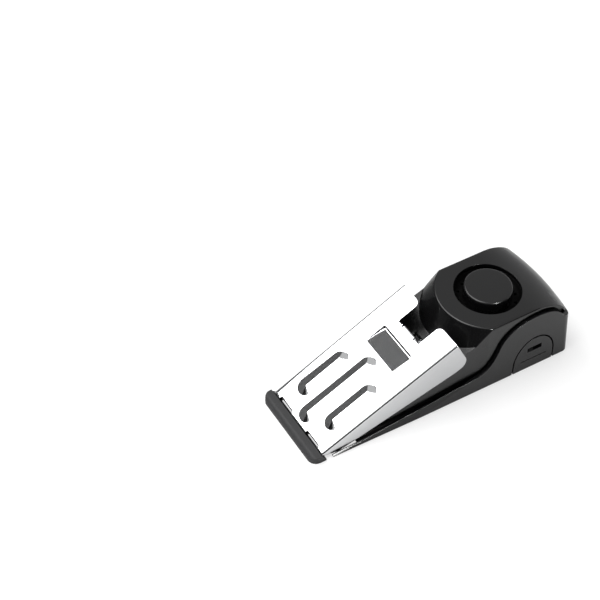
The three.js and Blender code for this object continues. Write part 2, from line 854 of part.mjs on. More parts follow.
// The tongue that is bent down from the notch, with a hook that keeps the plate from rising
const hookLength = 2.4;
const tongueX = notchFront + sheet;
const triggerHeadRadius = 4.6;
const openAngle = plateAngle - deckAngle;

// Height of a point of the body in the plate's own frame.
const inPlateFrame = (x, z) => (z - pinHeight) * Math.cos(plateAngle) - (x - pinX) * Math.sin(plateAngle);

// Height of the deck in the plate's own frame, at a place along the plate.
function deckInPlateFrame(along) {
  const front = [deckFront - pinX, deckFrontHeight - pinHeight];
  const start = front[0] * Math.cos(plateAngle) + front[1] * Math.sin(plateAngle);
  return inPlateFrame(deckFront, deckFrontHeight) - (along - start) * Math.tan(openAngle);
}
const hookRoom = shellWall / Math.cos(deckAngle) + (triggerHeadRadius - clearance * 2) * Math.tan(deckAngle);
const hookDrop = (hookRoom * Math.cos(deckAngle)) / Math.cos(openAngle);
const tongueDepth = plateTop - deckInPlateFrame(notchFront) + hookDrop;

function plateTongue() {
  const low = plateTop - tongueDepth;
  const outline = [
    [notchFront - sheet, plateTop - sheet],
    [tongueX - sheet, plateTop - sheet],
    [tongueX - sheet, low],
    [tongueX + hookLength, low],
    [tongueX + hookLength, low + sheet],
    [tongueX, low + sheet],
    ...arc([tongueX - sheet, plateTop - sheet], [sheet, sheet], 0, Math.PI / 2, 3),
    [notchFront - sheet, plateTop],
  ];
  return solidOf(acrossY(outline, -tongueWidth / 2, tongueWidth / 2));
}

// One lip that drops in front of the pin and curls under it.
function plateLip(side) {
  const inner = pinRadius + pinFit;
  const outer = inner + sheet;
  const outline = [
    [-outer, plateTop],
    ...arc([0, 0], [outer, outer], Math.PI, 2 * Math.PI, 10),
    ...arc([0, 0], [inner, inner], 2 * Math.PI, Math.PI, 10),
    [-inner, plateTop - sheet],
    [inner, plateTop - sheet],
    [inner, plateTop],
  ];
  const ys = [side * lipInner, side * lipOuter].sort((a, b) => a - b);
  return solidOf(acrossY(outline, ys[0], ys[1]));
}

// Chrome wedge plate, folded from one sheet.
function wedgePlate() {
  const side = solidOf(acrossY(plateSide(), -bodyWidth, bodyWidth));
  const channel = plateForm(0).subtract(plateForm(sheet)).intersect(side);
  const notchOutline = [
    [notchFront, -notchHalf],
    [plateRear - earRound, -notchHalf],
    ...arc([plateRear - earRound, -notchHalf - earRound], [earRound, earRound], Math.PI / 2, 0, 5),
    [plateRear + overrun, -notchHalf - earRound],
    [plateRear + overrun, notchHalf + earRound],
    ...arc([plateRear - earRound, notchHalf + earRound], [earRound, earRound], 0, -Math.PI / 2, 5),
    [notchFront, notchHalf],
  ];
  const upright = (outline) => solidOf(alongZ(outline, plateTop - sheet * 2, plateTop + overrun));
  const reliefs = [-1, 1].map((sign) => {
    const ys = [(sign * tongueWidth) / 2, sign * (tongueWidth / 2 + reliefWidth)].sort((a, b) => a - b);
    return upright(rectangle([notchFront - reliefDepth, ys[0]], [notchFront + overrun, ys[1]]));
  });
  const setbacks = [-1, 1].map((sign) => {
    const ys = [sign * lipInner, sign * lipOuter].sort((a, b) => a - b);
    return upright(rectangle([-plateFront - overrun, ys[0]], [lipSetback - plateFront, ys[1]]));
  });
  const sheetCut = without(channel, [upright(notchOutline), ...reliefs, ...setbacks]);
  const ribs = [plateRib(0, middleRib), plateRib(ribSpacing, sideRib), plateRib(-ribSpacing, sideRib)];
  const whole = joined([sheetCut, pocketTray(), plateTongue(), plateLip(1), plateLip(-1), ...ribs]);
  return whole.subtract(pocketVoid());
}

// Hinge pin across the nose.
function hingePin() {
  const length = panWidth - clearance;
  return new THREE.CylinderGeometry(pinRadius, pinRadius, length, 16);
}

// A spring wound from one wire, standing on the origin. Its ends stay open.
const coilSteps = 8;
const coilSides = 5;
function coil(name, radius, wire, turns, length) {
  const rings = Math.round(turns * coilSteps);
  const sides = coilSides;
  const places = [];
  const middles = [];
  for (let i = 0; i <= rings; i += 1) {
    const angle = (i / rings) * turns * 2 * Math.PI;
    const height = wire / 2 + (i / rings) * (length - wire);
    middles.push(new THREE.Vector3(radius * Math.cos(angle), radius * Math.sin(angle), height));
    for (let j = 0; j < sides; j += 1) {
      const around = (j / sides) * 2 * Math.PI;
      const reach = radius + (wire / 2) * Math.cos(around);
      places.push(reach * Math.cos(angle), reach * Math.sin(angle), height + (wire / 2) * Math.sin(around));
    }
  }
  const faces = [];
  for (let i = 0; i < rings; i += 1) {
    for (let j = 0; j < sides; j += 1) {
      const a = i * sides + j;
      const b = i * sides + ((j + 1) % sides);
      faces.push(a, a + sides, b, b, a + sides, b + sides);
    }
  }
  const last = rings * sides;
  for (let j = 1; j + 1 < sides; j += 1) {
    faces.push(0, j, j + 1, last, last + j + 1, last + j);
  }
  const geometry = new THREE.BufferGeometry();
  geometry.setAttribute("position", new THREE.Float32BufferAttribute(places, 3));
  geometry.setIndex(faces);
  geometry.computeVertexNormals();
  console.log(`${name}: least gap between its turns ${leastGap(middles, wire).toFixed(2)} mm`);
  return geometry;
}

// The least gap of a wire to itself, measured between points that lie half a turn or more apart.
function leastGap(middles, wire) {
  let least = Infinity;
  middles.forEach((from, i) => {
    middles.slice(i + coilSteps / 2).forEach((to) => {
      least = Math.min(least, from.distanceTo(to) - wire);
    });
  });
  return least;
}

// Trigger: a plunger under the tongue's hook that presses a contact dome on its own small board
const heel = new THREE.Vector2(tongueX - sheet, plateTop - tongueDepth);
const turnedHeel = (angle) => ({
  x: pinX + heel.x * Math.cos(angle) - heel.y * Math.sin(angle),
  z: pinHeight + heel.x * Math.sin(angle) + heel.y * Math.cos(angle),
});
const heelAtRest = turnedHeel(plateAngle);
const heelPressed = turnedHeel(plateAngle - plateTravel);
const triggerTravel = heelAtRest.z - heelPressed.z;
const triggerX = (heelAtRest.x + heelPressed.x) / 2;
const triggerTop = heelAtRest.z - clearance;
const triggerHead = 1.6;
const triggerStem = 2.2;
const triggerBoardThickness = 1;
const triggerBoardHalf = 7;
const domeRadius = 1.9;
const domeHeight = 0.8;
const guideRadius = 3.8;
const guideBase = 1;
const guideHalf = 6.2;
const triggerSpringWire = 0.5;
const triggerSpringTurns = 9;

function triggerPlunger() {
  const domeTop = floorTop + triggerBoardThickness + domeHeight;
  const stemLow = domeTop + clearance + triggerTravel;
  const headLow = triggerTop - triggerHead;
  const round = triggerHead / 4;
  const profile = [
    [0, stemLow],
    [triggerStem, stemLow],
    [triggerStem, headLow],
    [triggerHeadRadius, headLow],
    [triggerHeadRadius, triggerTop - round],
    [triggerHeadRadius - round, triggerTop],
    [0, triggerTop],
  ];
  return turned(profile, triggerX, 0, 20);
}

function triggerGuide() {
  const low = floorTop + triggerBoardThickness;
  const headPressed = triggerTop - triggerHead - triggerTravel;
  const tube = post(triggerX, 0, guideRadius, low, headPressed - clearance, 20);
  const base = block(
    [triggerX - guideHalf, -guideHalf, low],
    [triggerX + guideHalf, guideHalf, low + guideBase],
  );
  return joined([tube, base]).subtract(post(triggerX, 0, triggerStem + clearance, 0, headHeight, 20));
}

function triggerBoard() {
  const low = floorTop;
  const high = floorTop + triggerBoardThickness;
  return block(
    [triggerX - triggerBoardHalf, -triggerBoardHalf, low],
    [triggerX + triggerBoardHalf, triggerBoardHalf, high],
  );
}

function contactDome() {
  const low = floorTop + triggerBoardThickness;
  const top = arc([0, low], [domeRadius, domeHeight], 0, Math.PI / 2, 4);
  return turned([[0, low], ...top], triggerX, 0, 16);
}

// Siren: the capped grille in the head's top, its resonator cup and the sounder disc in it
const grilleFloorTop = 34.2;
const grilleFloorLow = 33;
const grilleWall = 1;
const grilleStep = 0.2;
const grilleGap = 1.3;
const grilleFlangeTop = headHeight - shellWall - grilleGap;
const capRound = 0.9;
const capWall = 1.4;
const soundHoles = 16;
const soundHoleRadius = 0.9;
const cupTop = grilleFloorLow - clearance;
const cupLow = 26.4;
const cupThickness = 1.1;
const ledgeWidth = 1.5;
const cupInner = cupOuter - cupThickness;
const ledgeInner = cupInner - ledgeWidth;
const ledgeHeight = 29.8;
const discRadius = cupInner - clearance;
const discThickness = 0.3;
const ceramicMargin = 4;
const ceramicRadius = discRadius - ceramicMargin;
const ceramicThickness = 0.25;

function sirenGrille() {
  const inner = ringRadius - grilleStep;
  const outer = inner + grilleWall;
  const capTop = headHeight + capRise;
  const profile = [
    [capRadius - capWall, grilleFloorLow],
    [outer, grilleFloorLow],
    [outer, grilleFlangeTop],
    [inner, grilleFlangeTop],
    [inner, grilleFloorTop],
    [capRadius, grilleFloorTop],
    ...arc([capRadius - capRound, capTop - capRound], [capRound, capRound], 0, Math.PI / 2, 4),
    [0, capTop],
    [0, capTop - capWall],
    [capRadius - capWall, capTop - capWall],
    [capRadius - capWall, grilleFloorLow],
  ];
  const holeCircle = (capRadius + inner) / 2;
  const holes = Array.from({ length: soundHoles }, (_, i) => {
    const angle = (i / soundHoles) * 2 * Math.PI;
    const x = sirenX + holeCircle * Math.cos(angle);
    const y = holeCircle * Math.sin(angle);
    return post(x, y, soundHoleRadius, grilleFloorLow - overrun, grilleFloorTop + clearance, 6);
  });
  return without(turned(profile, sirenX, 0, 48), holes);
}

function sirenCup() {
  const profile = [
    [0, cupLow],
    [cupOuter, cupLow],
    [cupOuter, cupTop],
    [cupInner, cupTop],
    [cupInner, ledgeHeight],
    [ledgeInner, ledgeHeight],
    [ledgeInner, cupLow + grilleWall],
    [0, cupLow + grilleWall],
  ];
  return turned(profile, sirenX, 0, 32);
}

// A flat disc of the sounder.
const flatDisc = (radius, low, thickness) => post(sirenX, 0, radius, low, low + thickness, 32);

// Circuit board with its notches for the posts.
function circuitBoard() {
  const half = boardWidth / 2;
  const main = block([boardFront, -half, boardBottom], [boardRear, half, boardTop - pinFit]);
  const tab = block(
    [boardTab.from, -boardTab.half, boardBottom],
    [boardTab.to, boardTab.half, boardTop - pinFit],
  );
  const board = main.add(tab);
  const screwHole = ([x, y]) => {
    return post(x, y, screwShaft + clearance, boardBottom - overrun, boardTop + overrun, 12);
  };
  const holes = boardPosts.map(screwHole);
  return without(board, holes);
}

// Parts on the board
const coilInset = 6.1;
const capacitorInset = 10.1;
const transistorGap = 2.7;
const chipHalf = 3.6;
const chipGap = 0.6;
const chipMargin = 4.8;
const resistorGap = 0.1;
const resistorMargin = 10.4;
const capacitorMargin = 9.6;
const coilPlace = { x: boardFront + coilInset, y: 2, radius: 4.2, core: 2.4, height: 7 };
const capacitorY = capacitorMargin - boardWidth / 2;
const capacitorPlace = { x: boardFront + capacitorInset, y: capacitorY, radius: 3.2, height: 8.5 };
const transistorPlace = { x: sirenX + cupOuter + transistorGap, y: -9, radius: 2.4, height: 4.8 };
const resistorLength = 6.4;
const resistorRadius = 1.15;
const resistorX = sirenX + cupOuter + resistorGap;
const chipPlace = {
  x: resistorX - resistorLength / 2 - chipGap - chipHalf,
  y: boardWidth / 2 - chipMargin,
  half: chipHalf,
  height: 1.6,
};
const resistorY = boardWidth / 2 - resistorMargin;
const resistorSpacing = 4;
const resistorPlaces = [
  [resistorX, resistorY],
  [resistorX, resistorY + resistorSpacing],
];

function boostCoil() {
  const { x, y, radius, core, height } = coilPlace;
  const rim = height / 6;
  const profile = [
    [0, boardTop],
    [radius, boardTop],
    [radius, boardTop + rim],
    [core + rim / 2, boardTop + rim],
    [core + rim / 2, boardTop + height - rim],
    [radius, boardTop + height - rim],
    [radius, boardTop + height],
    [0, boardTop + height],
  ];
  return turned(profile, x, y, 20);
}

function capacitor() {
  const { x, y, radius, height } = capacitorPlace;
  const groove = radius / 8;
  const profile = [
    [0, boardTop],
    [radius, boardTop],
    [radius, boardTop + 2 * groove],
    [radius - groove, boardTop + 3 * groove],
    [radius, boardTop + 4 * groove],
    [radius, boardTop + height - groove],
    [radius - groove, boardTop + height],
    [0, boardTop + height],
  ];
  return turned(profile, x, y, 18);
}

function transistor() {
  const { x, y, radius, height } = transistorPlace;
  const outline = arc([x, y], [radius, radius], degrees(-40), degrees(220), 12);
  return solidOf(alongZ(outline, boardTop, boardTop + height));
}

function controlChip() {
  const { x, y, half, height } = chipPlace;
  return block([x - half, y - half, boardTop], [x + half, y + half, boardTop + height]);
}

// One resistor lying along X on the board.
function resistor([x, y]) {
  const waist = resistorRadius * 0.82;
  const end = resistorLength / 2;
  const bulge = end / 3;
  const profile = [
    [0, -end],
    [resistorRadius, -end],
    [resistorRadius, -end + bulge],
    [waist, -end + bulge * 1.4],
    [waist, end - bulge * 1.4],
    [resistorRadius, end - bulge],
    [resistorRadius, end],
    [0, end],
  ].map(([radius, height]) => new THREE.Vector2(radius, height));
  const geometry = new THREE.LatheGeometry(profile, 12);
  geometry.rotateZ(-Math.PI / 2);
  geometry.translate(x, y, boardTop + resistorRadius + pinFit);
  return geometry;
}

// Battery with its two studs, lying in the bay with the studs towards the nose
const batteryLow = floorTop + groundGap;
const batteryFromBay = 2;
const batteryRear = bayRear - batteryFromBay;
const batteryFront = batteryRear - batteryLength + terminalHeight;
const batteryRound = 3;
const studSpacingShare = 0.48;
const plusStudShare = 0.106;
const minusStudShare = 0.136;
const studSpacing = batteryWidth * studSpacingShare;
const plusStud = batteryWidth * plusStudShare;
const minusStud = batteryWidth * minusStudShare;
const snapThickness = 2.4;
const snapMargin = 2.5;
const snapWidth = batteryWidth - snapMargin;
const snapHeight = 11;

// A stud's place and size on the battery's front face.
const studs = [
  { y: batteryCentreY - studSpacing / 2, radius: plusStud },
  { y: batteryCentreY + studSpacing / 2, radius: minusStud },
];

// A round bar along X.
function barX(y, z, radius, low, high, sides = 16) {
  const geometry = new THREE.CylinderGeometry(radius, radius, high - low, sides);
  geometry.rotateZ(Math.PI / 2);
  geometry.translate((low + high) / 2, y, z);
  return solidOf(geometry);
}

function battery() {
  const half = batteryWidth / 2;
  const outline = roundRectangle(
    [batteryCentreY - half, batteryLow],
    [batteryCentreY + half, batteryLow + batteryHeight],
    batteryRound,
  );
  const middle = batteryLow + batteryHeight / 2;
  const studFront = batteryFront - terminalHeight;
  const bars = studs.map(({ y, radius }) => barX(y, middle, radius, studFront, batteryFront + clearance));
  return joined([solidOf(alongX(outline, batteryFront, batteryRear)), ...bars]);
}

function batterySnap() {
  const middle = batteryLow + batteryHeight / 2;
  const rear = batteryFront - clearance;
  const outline = roundRectangle(
    [batteryCentreY - snapWidth / 2, middle - snapHeight / 2],
    [batteryCentreY + snapWidth / 2, middle + snapHeight / 2],
    batteryRound,
  );
  const sockets = studs.map(({ y, radius }) =>
    barX(y, middle, radius + clearance / 2, batteryFront - terminalHeight - clearance, rear + overrun),
  );
  return without(solidOf(alongX(outline, rear - snapThickness - clearance, rear)), sockets);
}

// Battery door with a finger recess, latch slots and two foam strips under the battery.
function batteryDoor() {
  const high = groundGap + doorThickness;
  const plate = solidOf(alongZ(roundRectangle(doorLow, doorHigh, doorCorner), groundGap, high));
  const ball = new THREE.SphereGeometry(fingerRadius, 16, 10);
  ball.translate(doorLow[0] + fingerInset, batteryCentreY, groundGap - fingerRadius + fingerDepth);
  const slots = [-1, 1].map((side) => {
    const y = batteryCentreY + (side * latchSpacing) / 2;
    return block(
      [doorLow[0] - overrun, y - latchSlot / 2, -overrun],
      [doorLow[0] + latchLength, y + latchSlot / 2, overrun],
    );
  });
  const foam = [-1, 1].map((side) => {
    const y = batteryCentreY + (side * foamSpacing) / 2;
    return block(
      [doorLow[0] + foamMargin, y - foamWidth / 2, high - clearance],
      [doorHigh[0] - foamMargin, y + foamWidth / 2, batteryLow - pinFit],
    );
  });
  return without(joined([plate, ...foam]), [solidOf(ball), ...slots]);
}

// Switch panel with its slot and an engraved line under it.
function switchPanel() {
  const wide = bodyWidth;
  const coreForm = solidOf(acrossY(archOutline(-panelGap, groundGap), -wide, -panelInner));
  const core = coreForm.intersect(lowerForm(0));
  const flangeOutline = archOutline(panelFlange, floorTop + clearance);
  const flange = solidOf(acrossY(flangeOutline, -panelFlangeFace, -panelInner));
  const half = sliderSlotLength / 2;
  const slot = block(
    [sliderSlotX - half, -wide, sliderSlotZ - sliderSlotHeight / 2],
    [sliderSlotX + half, 0, sliderSlotZ + sliderSlotHeight / 2],
  );
  const lineDepth = bodyWidth / 2 - underlineWidth * 1.6;
  const underline = block(
    [archX - underlineLength / 2, -wide, underlineZ - underlineWidth / 2],
    [archX + underlineLength / 2, -lineDepth, underlineZ + underlineWidth / 2],
  );
  const foot = block([0, -panWidth / 2 - pinFit, -overrun], [bodyLength, 0, floorTop + clearance]);
  return without(joined([core, flange]), [slot, underline, foot]);
}

// Slide switch: its case behind the panel and its knob in the slot
const switchHalf = 6.6;
const switchDepth = 5.2;
const switchHeight = 5.6;

function slideSwitchCase() {
  const face = -panelInner + clearance;
  return block(
    [sliderSlotX - switchHalf, face, sliderSlotZ - switchHeight / 2],
    [sliderSlotX + switchHalf, face + switchDepth, sliderSlotZ + switchHeight / 2],
  );
}

function slideSwitchKnob() {
  const low = sliderSlotX - sliderSlotLength / 2 + clearance;
  const half = sliderSlotHeight / 2 - pinFit * 2;
  const outer = -bodyWidth / 2 + pinFit;
  const knob = block(
    [low, outer, sliderSlotZ - half],
    [low + sliderWidth, -panelInner + clearance / 2, sliderSlotZ + half],
  );
  const grooves = [1, 2].map((i) => {
    const x = low + (sliderWidth * i) / 3;
    return block([x - pinFit, outer - overrun, 0], [x + pinFit, outer + pinFit * 2, headHeight]);
  });
  return without(knob, grooves);
}

// A screw standing head down at its place, with a cross in its head.
function screw(head, rise, shaft, length) {
  const round = rise / 3;
  const profile = [
    [0, -rise],
    [head - round, -rise],
    [head, -rise + round],
    [head, 0],
    [shaft, 0],
    [shaft, length - shaft],
    [shaft / 3, length],
    [0, length],
  ];
  const cross = head * 0.55;
  const thick = head / 9;
  const depth = -rise * 0.4;
  const cuts = [
    block([-cross, -thick, -rise - overrun], [cross, thick, depth]),
    block([-thick, -cross, -rise - overrun], [thick, cross, depth]),
  ];
  return without(turned(profile, 0, 0, 14), cuts);
}

// Leads: short insulated wires between the boards, the battery snap and the sounder
const leadRadius = 0.6;
const snapLeadZ = batteryLow + batteryHeight / 2 + snapHeight / 2;
const snapLeadX = batteryFront - clearance - snapThickness / 2;
const underBoard = boardBottom - clearance;
const onTriggerBoard = floorTop + triggerBoardThickness + leadRadius + clearance;
const triggerLeadX = triggerX + triggerBoardHalf - leadRadius * 2;
const leadSway = 0.4;
const leadSpread = 0.8;
const leadRise = 1.4;
const leadBendBack = 2.1;
const leadBendY = 9.4;
const leadBendZ = 11;
const leadBendRise = 6;
const sirenLeadX = sirenX + cupOuter + leadRadius + clearance;
const sirenLeadY = resistorY / 3;
const redLeadY = 4;
const blackLeadY = -2;
const batteryLead = (y, side) => [
  [snapLeadX, y, snapLeadZ + clearance],
  [snapLeadX, y + (side * leadSpread) / 4, snapLeadZ + leadRise],
  [snapLeadX + leadSway, y + side * leadSpread, underBoard - leadRise],
  [snapLeadX + leadSway, y + side * leadSpread, underBoard],
];
const triggerLead = (side) => [
  [triggerLeadX, side * (triggerBoardHalf - leadRadius * 2), onTriggerBoard + leadRadius],
  [triggerLeadX + leadRise, side * (triggerBoardHalf + leadSway), onTriggerBoard + leadRise * 1.5],
  [boardFront - leadBendBack, side * leadBendY, leadBendZ],
  [boardFront + leadSway, side * leadBendY, underBoard - leadBendRise],
  [boardFront + leadRise, side * (leadBendY - leadSway), underBoard],
];
const sirenLead = (side) => [
  [sirenLeadX + leadRise, side * (sirenLeadY + leadSway), boardTop + clearance],
  [sirenLeadX + leadRise, side * (sirenLeadY + leadSway / 2), boardTop + leadRise * 2],
  [sirenLeadX + leadSway, side * sirenLeadY, cupTop - leadRise * 2],
  [sirenLeadX, side * sirenLeadY, cupTop - leadRise],
];
const leads = {
  battery_lead_red: { colour: 0xb3211c, points: batteryLead(redLeadY, 1) },
  battery_lead_black: { colour: 0x151515, points: batteryLead(blackLeadY, -1) },
  trigger_lead_front: { colour: 0xd9d4c6, points: triggerLead(1) },
  trigger_lead_rear: { colour: 0xd9d4c6, points: triggerLead(-1) },
  siren_lead_red: { colour: 0xb3211c, points: sirenLead(1) },
  siren_lead_black: { colour: 0x151515, points: sirenLead(-1) },
};

// One lead along its points.
function lead(points) {
  const path = new THREE.CatmullRomCurve3(points.map((place) => new THREE.Vector3(...place)));
  const ring = new THREE.Shape();
  ring.absarc(0, 0, leadRadius, 0, 2 * Math.PI);
  const options = { steps: 12, curveSegments: 4, extrudePath: path, bevelEnabled: false };
  return new THREE.ExtrudeGeometry(ring, options);
}

// A material from a colour and its finish.
function finish(color, roughness, metalness = 0) {
  return new THREE.MeshStandardMaterial({ color, roughness, metalness });
}

const blackPlastic = finish(0x1c1c1c, 0.42);
const deepBlackPlastic = finish(0x0d0d0d, 0.5);
const softRubber = finish(0x2b2b2b, 0.8);
const padRubber = finish(0x1a1a1a, 0.9);
const chrome = finish(0xf2f2f2, 0.08, 1);
const steel = finish(0xb9bcc0, 0.3, 1);
const brass = finish(0xc9a54c, 0.3, 1);
const ceramic = finish(0xe6e2d6, 0.5);
const boardGreen = finish(0x1f5a34, 0.5);
const ferrite = finish(0x3a3430, 0.6);
const canSleeve = finish(0x1d2440, 0.4);
const resistorBody = finish(0xcbb488, 0.5);
const batteryJacket = finish(0x50545a, 0.35);

const object = new THREE.Group();
object.position.x = -(noseFront + bodyLength) / 2;
const root = new THREE.Group();
root.add(object);

// Adds one named piece to a group, from a solid or a geometry.
function addPiece(name, shape, material, group = object) {
  const geometry = shape.isBufferGeometry ? shape : geometryOf(shape);
  const mesh = new THREE.Mesh(geometry, material);
  mesh.name = name;
  group.add(mesh);
  return mesh;
}

addPiece("lower_shell", lowerShell(), blackPlastic);
addPiece("upper_shell", upperShell(), blackPlastic);
addPiece("nose_strip", noseStrip(), softRubber);
addPiece("switch_panel", switchPanel(), blackPlastic);

const platePivot = new THREE.Group();
platePivot.position.set(pinX, 0, pinHeight);
platePivot.rotation.y = -plateAngle;
object.add(platePivot);
addPiece("wedge_plate", wedgePlate(), chrome, platePivot);
addPiece("hinge_pin", hingePin(), steel).position.set(pinX, 0, pinHeight);

const springSeat = inPlateFrame(springPlace(), deckHeight(springPlace()));
const underPlate = (plateTop - sheet - springSeat) / Math.cos(openAngle);
const springLength = underPlate + cupDepth - clearance - springRadius * Math.tan(openAngle);
const plateSpring = coil("plate_spring", springRadius, springWire, springTurns, springLength);
addPiece("plate_spring", onDeck(plateSpring, clearance - cupDepth), steel);

addPiece("trigger_plunger", triggerPlunger(), deepBlackPlastic);
addPiece("trigger_guide", triggerGuide(), deepBlackPlastic);
addPiece("trigger_board", triggerBoard(), boardGreen);
addPiece("contact_dome", contactDome(), steel);
const springFloor = floorTop + triggerBoardThickness + guideBase + clearance;
const triggerSpringLength = triggerTop - triggerHead - clearance - springFloor;
const triggerCoilInner = guideRadius + clearance / 2;
const triggerSpringRadius = (triggerCoilInner + triggerSpringWire / 2) / Math.cos(Math.PI / coilSteps);
const triggerCoil = coil(
  "trigger_spring",
  triggerSpringRadius,
  triggerSpringWire,
  triggerSpringTurns,
  triggerSpringLength,
);
addPiece("trigger_spring", triggerCoil, steel).position.set(triggerX, 0, springFloor);

addPiece("siren_grille", sirenGrille(), blackPlastic);
addPiece("siren_cup", sirenCup(), deepBlackPlastic);
addPiece("sounder_disc", flatDisc(discRadius, ledgeHeight, discThickness), brass);
addPiece("sounder_ceramic", flatDisc(ceramicRadius, ledgeHeight + discThickness, ceramicThickness), ceramic);

addPiece("circuit_board", circuitBoard(), boardGreen);
addPiece("boost_coil", boostCoil(), ferrite);
addPiece("capacitor", capacitor(), canSleeve);
addPiece("transistor", transistor(), deepBlackPlastic);
addPiece("control_chip", controlChip(), deepBlackPlastic);
resistorPlaces.forEach((place, i) => addPiece(`resistor_${i + 1}`, resistor(place), resistorBody));

addPiece("battery", battery(), batteryJacket);
addPiece("battery_snap", batterySnap(), deepBlackPlastic);
addPiece("battery_door", batteryDoor(), blackPlastic);

addPiece("slide_switch_case", slideSwitchCase(), steel);
addPiece("slide_switch_knob", slideSwitchKnob(), deepBlackPlastic);

// A rubber pad let into the underside.
const pad = (outline) => solidOf(alongZ(outline, 0, padThickness));
addPiece("front_pad", pad(frontPad), padRubber);
addPiece("side_pad_left", pad(sidePads[0]), padRubber);
addPiece("side_pad_right", pad(sidePads[1]), padRubber);

casePosts.forEach(({ x, y, headSeat, split }, i) => {
  const length = split + screwGrip - headSeat;
  const piece = screw(screwHead, screwHeadHeight, screwShaft, length);
  addPiece(`case_screw_${i + 1}`, piece, steel).position.set(x, y, headSeat);
});
boardPosts.forEach(([x, y], i) => {
  const piece = screw(screwHead, screwHeadHeight, screwShaft, boardThickness + screwGrip);
  addPiece(`board_screw_${i + 1}`, piece, steel).position.set(x, y, boardBottom);
});
Object.entries(leads).forEach(([name, { colour, points }]) => {
  addPiece(name, lead(points), finish(colour, 0.5));
});

export default root;
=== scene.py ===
# %% [markdown]
# A door stop alarm, dressed for its picture
#
# The alarm is a plastic wedge. A sprung chrome plate lies on its slope, a round siren cap stands on
# its head, and a small slide switch sits in an arched panel on one side. The solids come in as a
# fixed frame, already in their real places. This lesson gives each of them its finish, and makes
# finer surfaces where the solids are too plain for a close look.

# %% Load the frame
import json
import math

import bmesh
import bpy
from mathutils import Matrix, Vector


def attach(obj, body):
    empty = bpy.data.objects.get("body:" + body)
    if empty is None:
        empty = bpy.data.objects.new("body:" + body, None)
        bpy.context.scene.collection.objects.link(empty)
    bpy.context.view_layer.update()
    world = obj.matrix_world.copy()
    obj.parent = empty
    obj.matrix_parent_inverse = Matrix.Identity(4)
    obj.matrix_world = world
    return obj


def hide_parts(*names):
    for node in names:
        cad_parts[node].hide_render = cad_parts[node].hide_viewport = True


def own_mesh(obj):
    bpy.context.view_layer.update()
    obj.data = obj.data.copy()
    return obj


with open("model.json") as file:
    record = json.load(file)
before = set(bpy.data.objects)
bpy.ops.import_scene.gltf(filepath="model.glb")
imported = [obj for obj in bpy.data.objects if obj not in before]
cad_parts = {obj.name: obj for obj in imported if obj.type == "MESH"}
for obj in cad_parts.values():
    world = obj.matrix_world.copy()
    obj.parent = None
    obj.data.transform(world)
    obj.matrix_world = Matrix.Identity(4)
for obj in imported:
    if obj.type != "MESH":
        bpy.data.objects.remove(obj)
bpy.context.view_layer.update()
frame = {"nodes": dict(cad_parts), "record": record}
MM = 0.001
print("nodes:", len(frame["nodes"]))

# %% [markdown]
# The camera stands to the right of the nose and looks down at 47 degrees. A long lens keeps the
# wedge's edges almost parallel, as a product picture does. Its place was worked out from the
# object's own outline, so it is written down as angles, a distance and a shift of the target.

# %% Camera
VIEW_TURN = math.radians(-31.6697)
VIEW_RISE = math.radians(47.0432)
VIEW_ROLL = math.radians(1.22143)
VIEW_DISTANCE = 790.24 * MM
VIEW_SIDE = 6.9163 * MM
VIEW_LIFT = 62.9396 * MM
NOSE_X = -75.35 * MM
SENSOR = 36.0
FOCAL_PIXELS = 1669.6
PICTURE_PIXELS = 600
LENS = SENSOR * FOCAL_PIXELS / PICTURE_PIXELS
NEAR_CLIP = 10 * MM


def camera_axes():
    back = Vector((
        math.sin(VIEW_TURN) * math.cos(VIEW_RISE),
        -math.cos(VIEW_TURN) * math.cos(VIEW_RISE),
        math.sin(VIEW_RISE),
    ))
    right = Vector((math.cos(VIEW_TURN), math.sin(VIEW_TURN), 0))
    up = back.cross(right)
    side = right * math.cos(VIEW_ROLL) + up * math.sin(VIEW_ROLL)
    top = up * math.cos(VIEW_ROLL) - right * math.sin(VIEW_ROLL)
    return side, top, back


side, top, back = camera_axes()
camera = bpy.data.objects.new("camera", bpy.data.cameras.new("camera"))
bpy.context.collection.objects.link(camera)
place = side * VIEW_SIDE + top * VIEW_LIFT + back * VIEW_DISTANCE + Vector((NOSE_X, 0, 0))
turn = Matrix((side, top, back)).transposed().to_4x4()
camera.matrix_world = Matrix.Translation(place) @ turn
camera.data.sensor_width = SENSOR
camera.data.lens = LENS
camera.data.clip_start = NEAR_CLIP
bpy.context.scene.camera = camera
print("camera at", [round(value, 4) for value in place], "lens", round(LENS, 2))

# %% [markdown]
# Plastic, rubber and metal all come from the same few effects, mixed at different strengths: a fine
# grain that breaks up the gloss, a slow cloudiness in the colour, and a little wear along the edges
# that stand out. Each effect is a node group with its own inputs, so that a material only says how
# much of it there is and how large it is.
#
# The groups share a few helpers. One fills a socket with a number or with a link, and the others add
# a Math node, a Noise node that follows the object, or a mix of two colours. A Mix node has sockets
# for every kind of data under the same labels, so its colour ones are found by their numbers.

# %% Helpers for nodes
FLOAT = "NodeSocketFloat"
COLOUR = "NodeSocketColor"
NORMAL = "NodeSocketVector"
MIX_SHARE, MIX_FIRST, MIX_SECOND, MIX_RESULT = 0, 6, 7, 2


def new_group(name, inputs, outputs):
    group = bpy.data.node_groups.new(name, "ShaderNodeTree")
    for label, kind, value in inputs:
        socket = group.interface.new_socket(label, in_out="INPUT", socket_type=kind)
        socket.default_value = value
    for label, kind in outputs:
        group.interface.new_socket(label, in_out="OUTPUT", socket_type=kind)
    nodes = group.nodes
    return group, nodes, group.links, nodes.new("NodeGroupInput"), nodes.new("NodeGroupOutput")


def node(nodes, kind, **values):
    made = nodes.new(kind)
    for key, value in values.items():
        setattr(made, key, value)
    return made


def feed(links, socket, value):
    if hasattr(value, "is_output"):
        links.new(value, socket)
    else:
        socket.default_value = value


def fill(made, values):
    for label, value in values.items():
        made.inputs[label].default_value = value


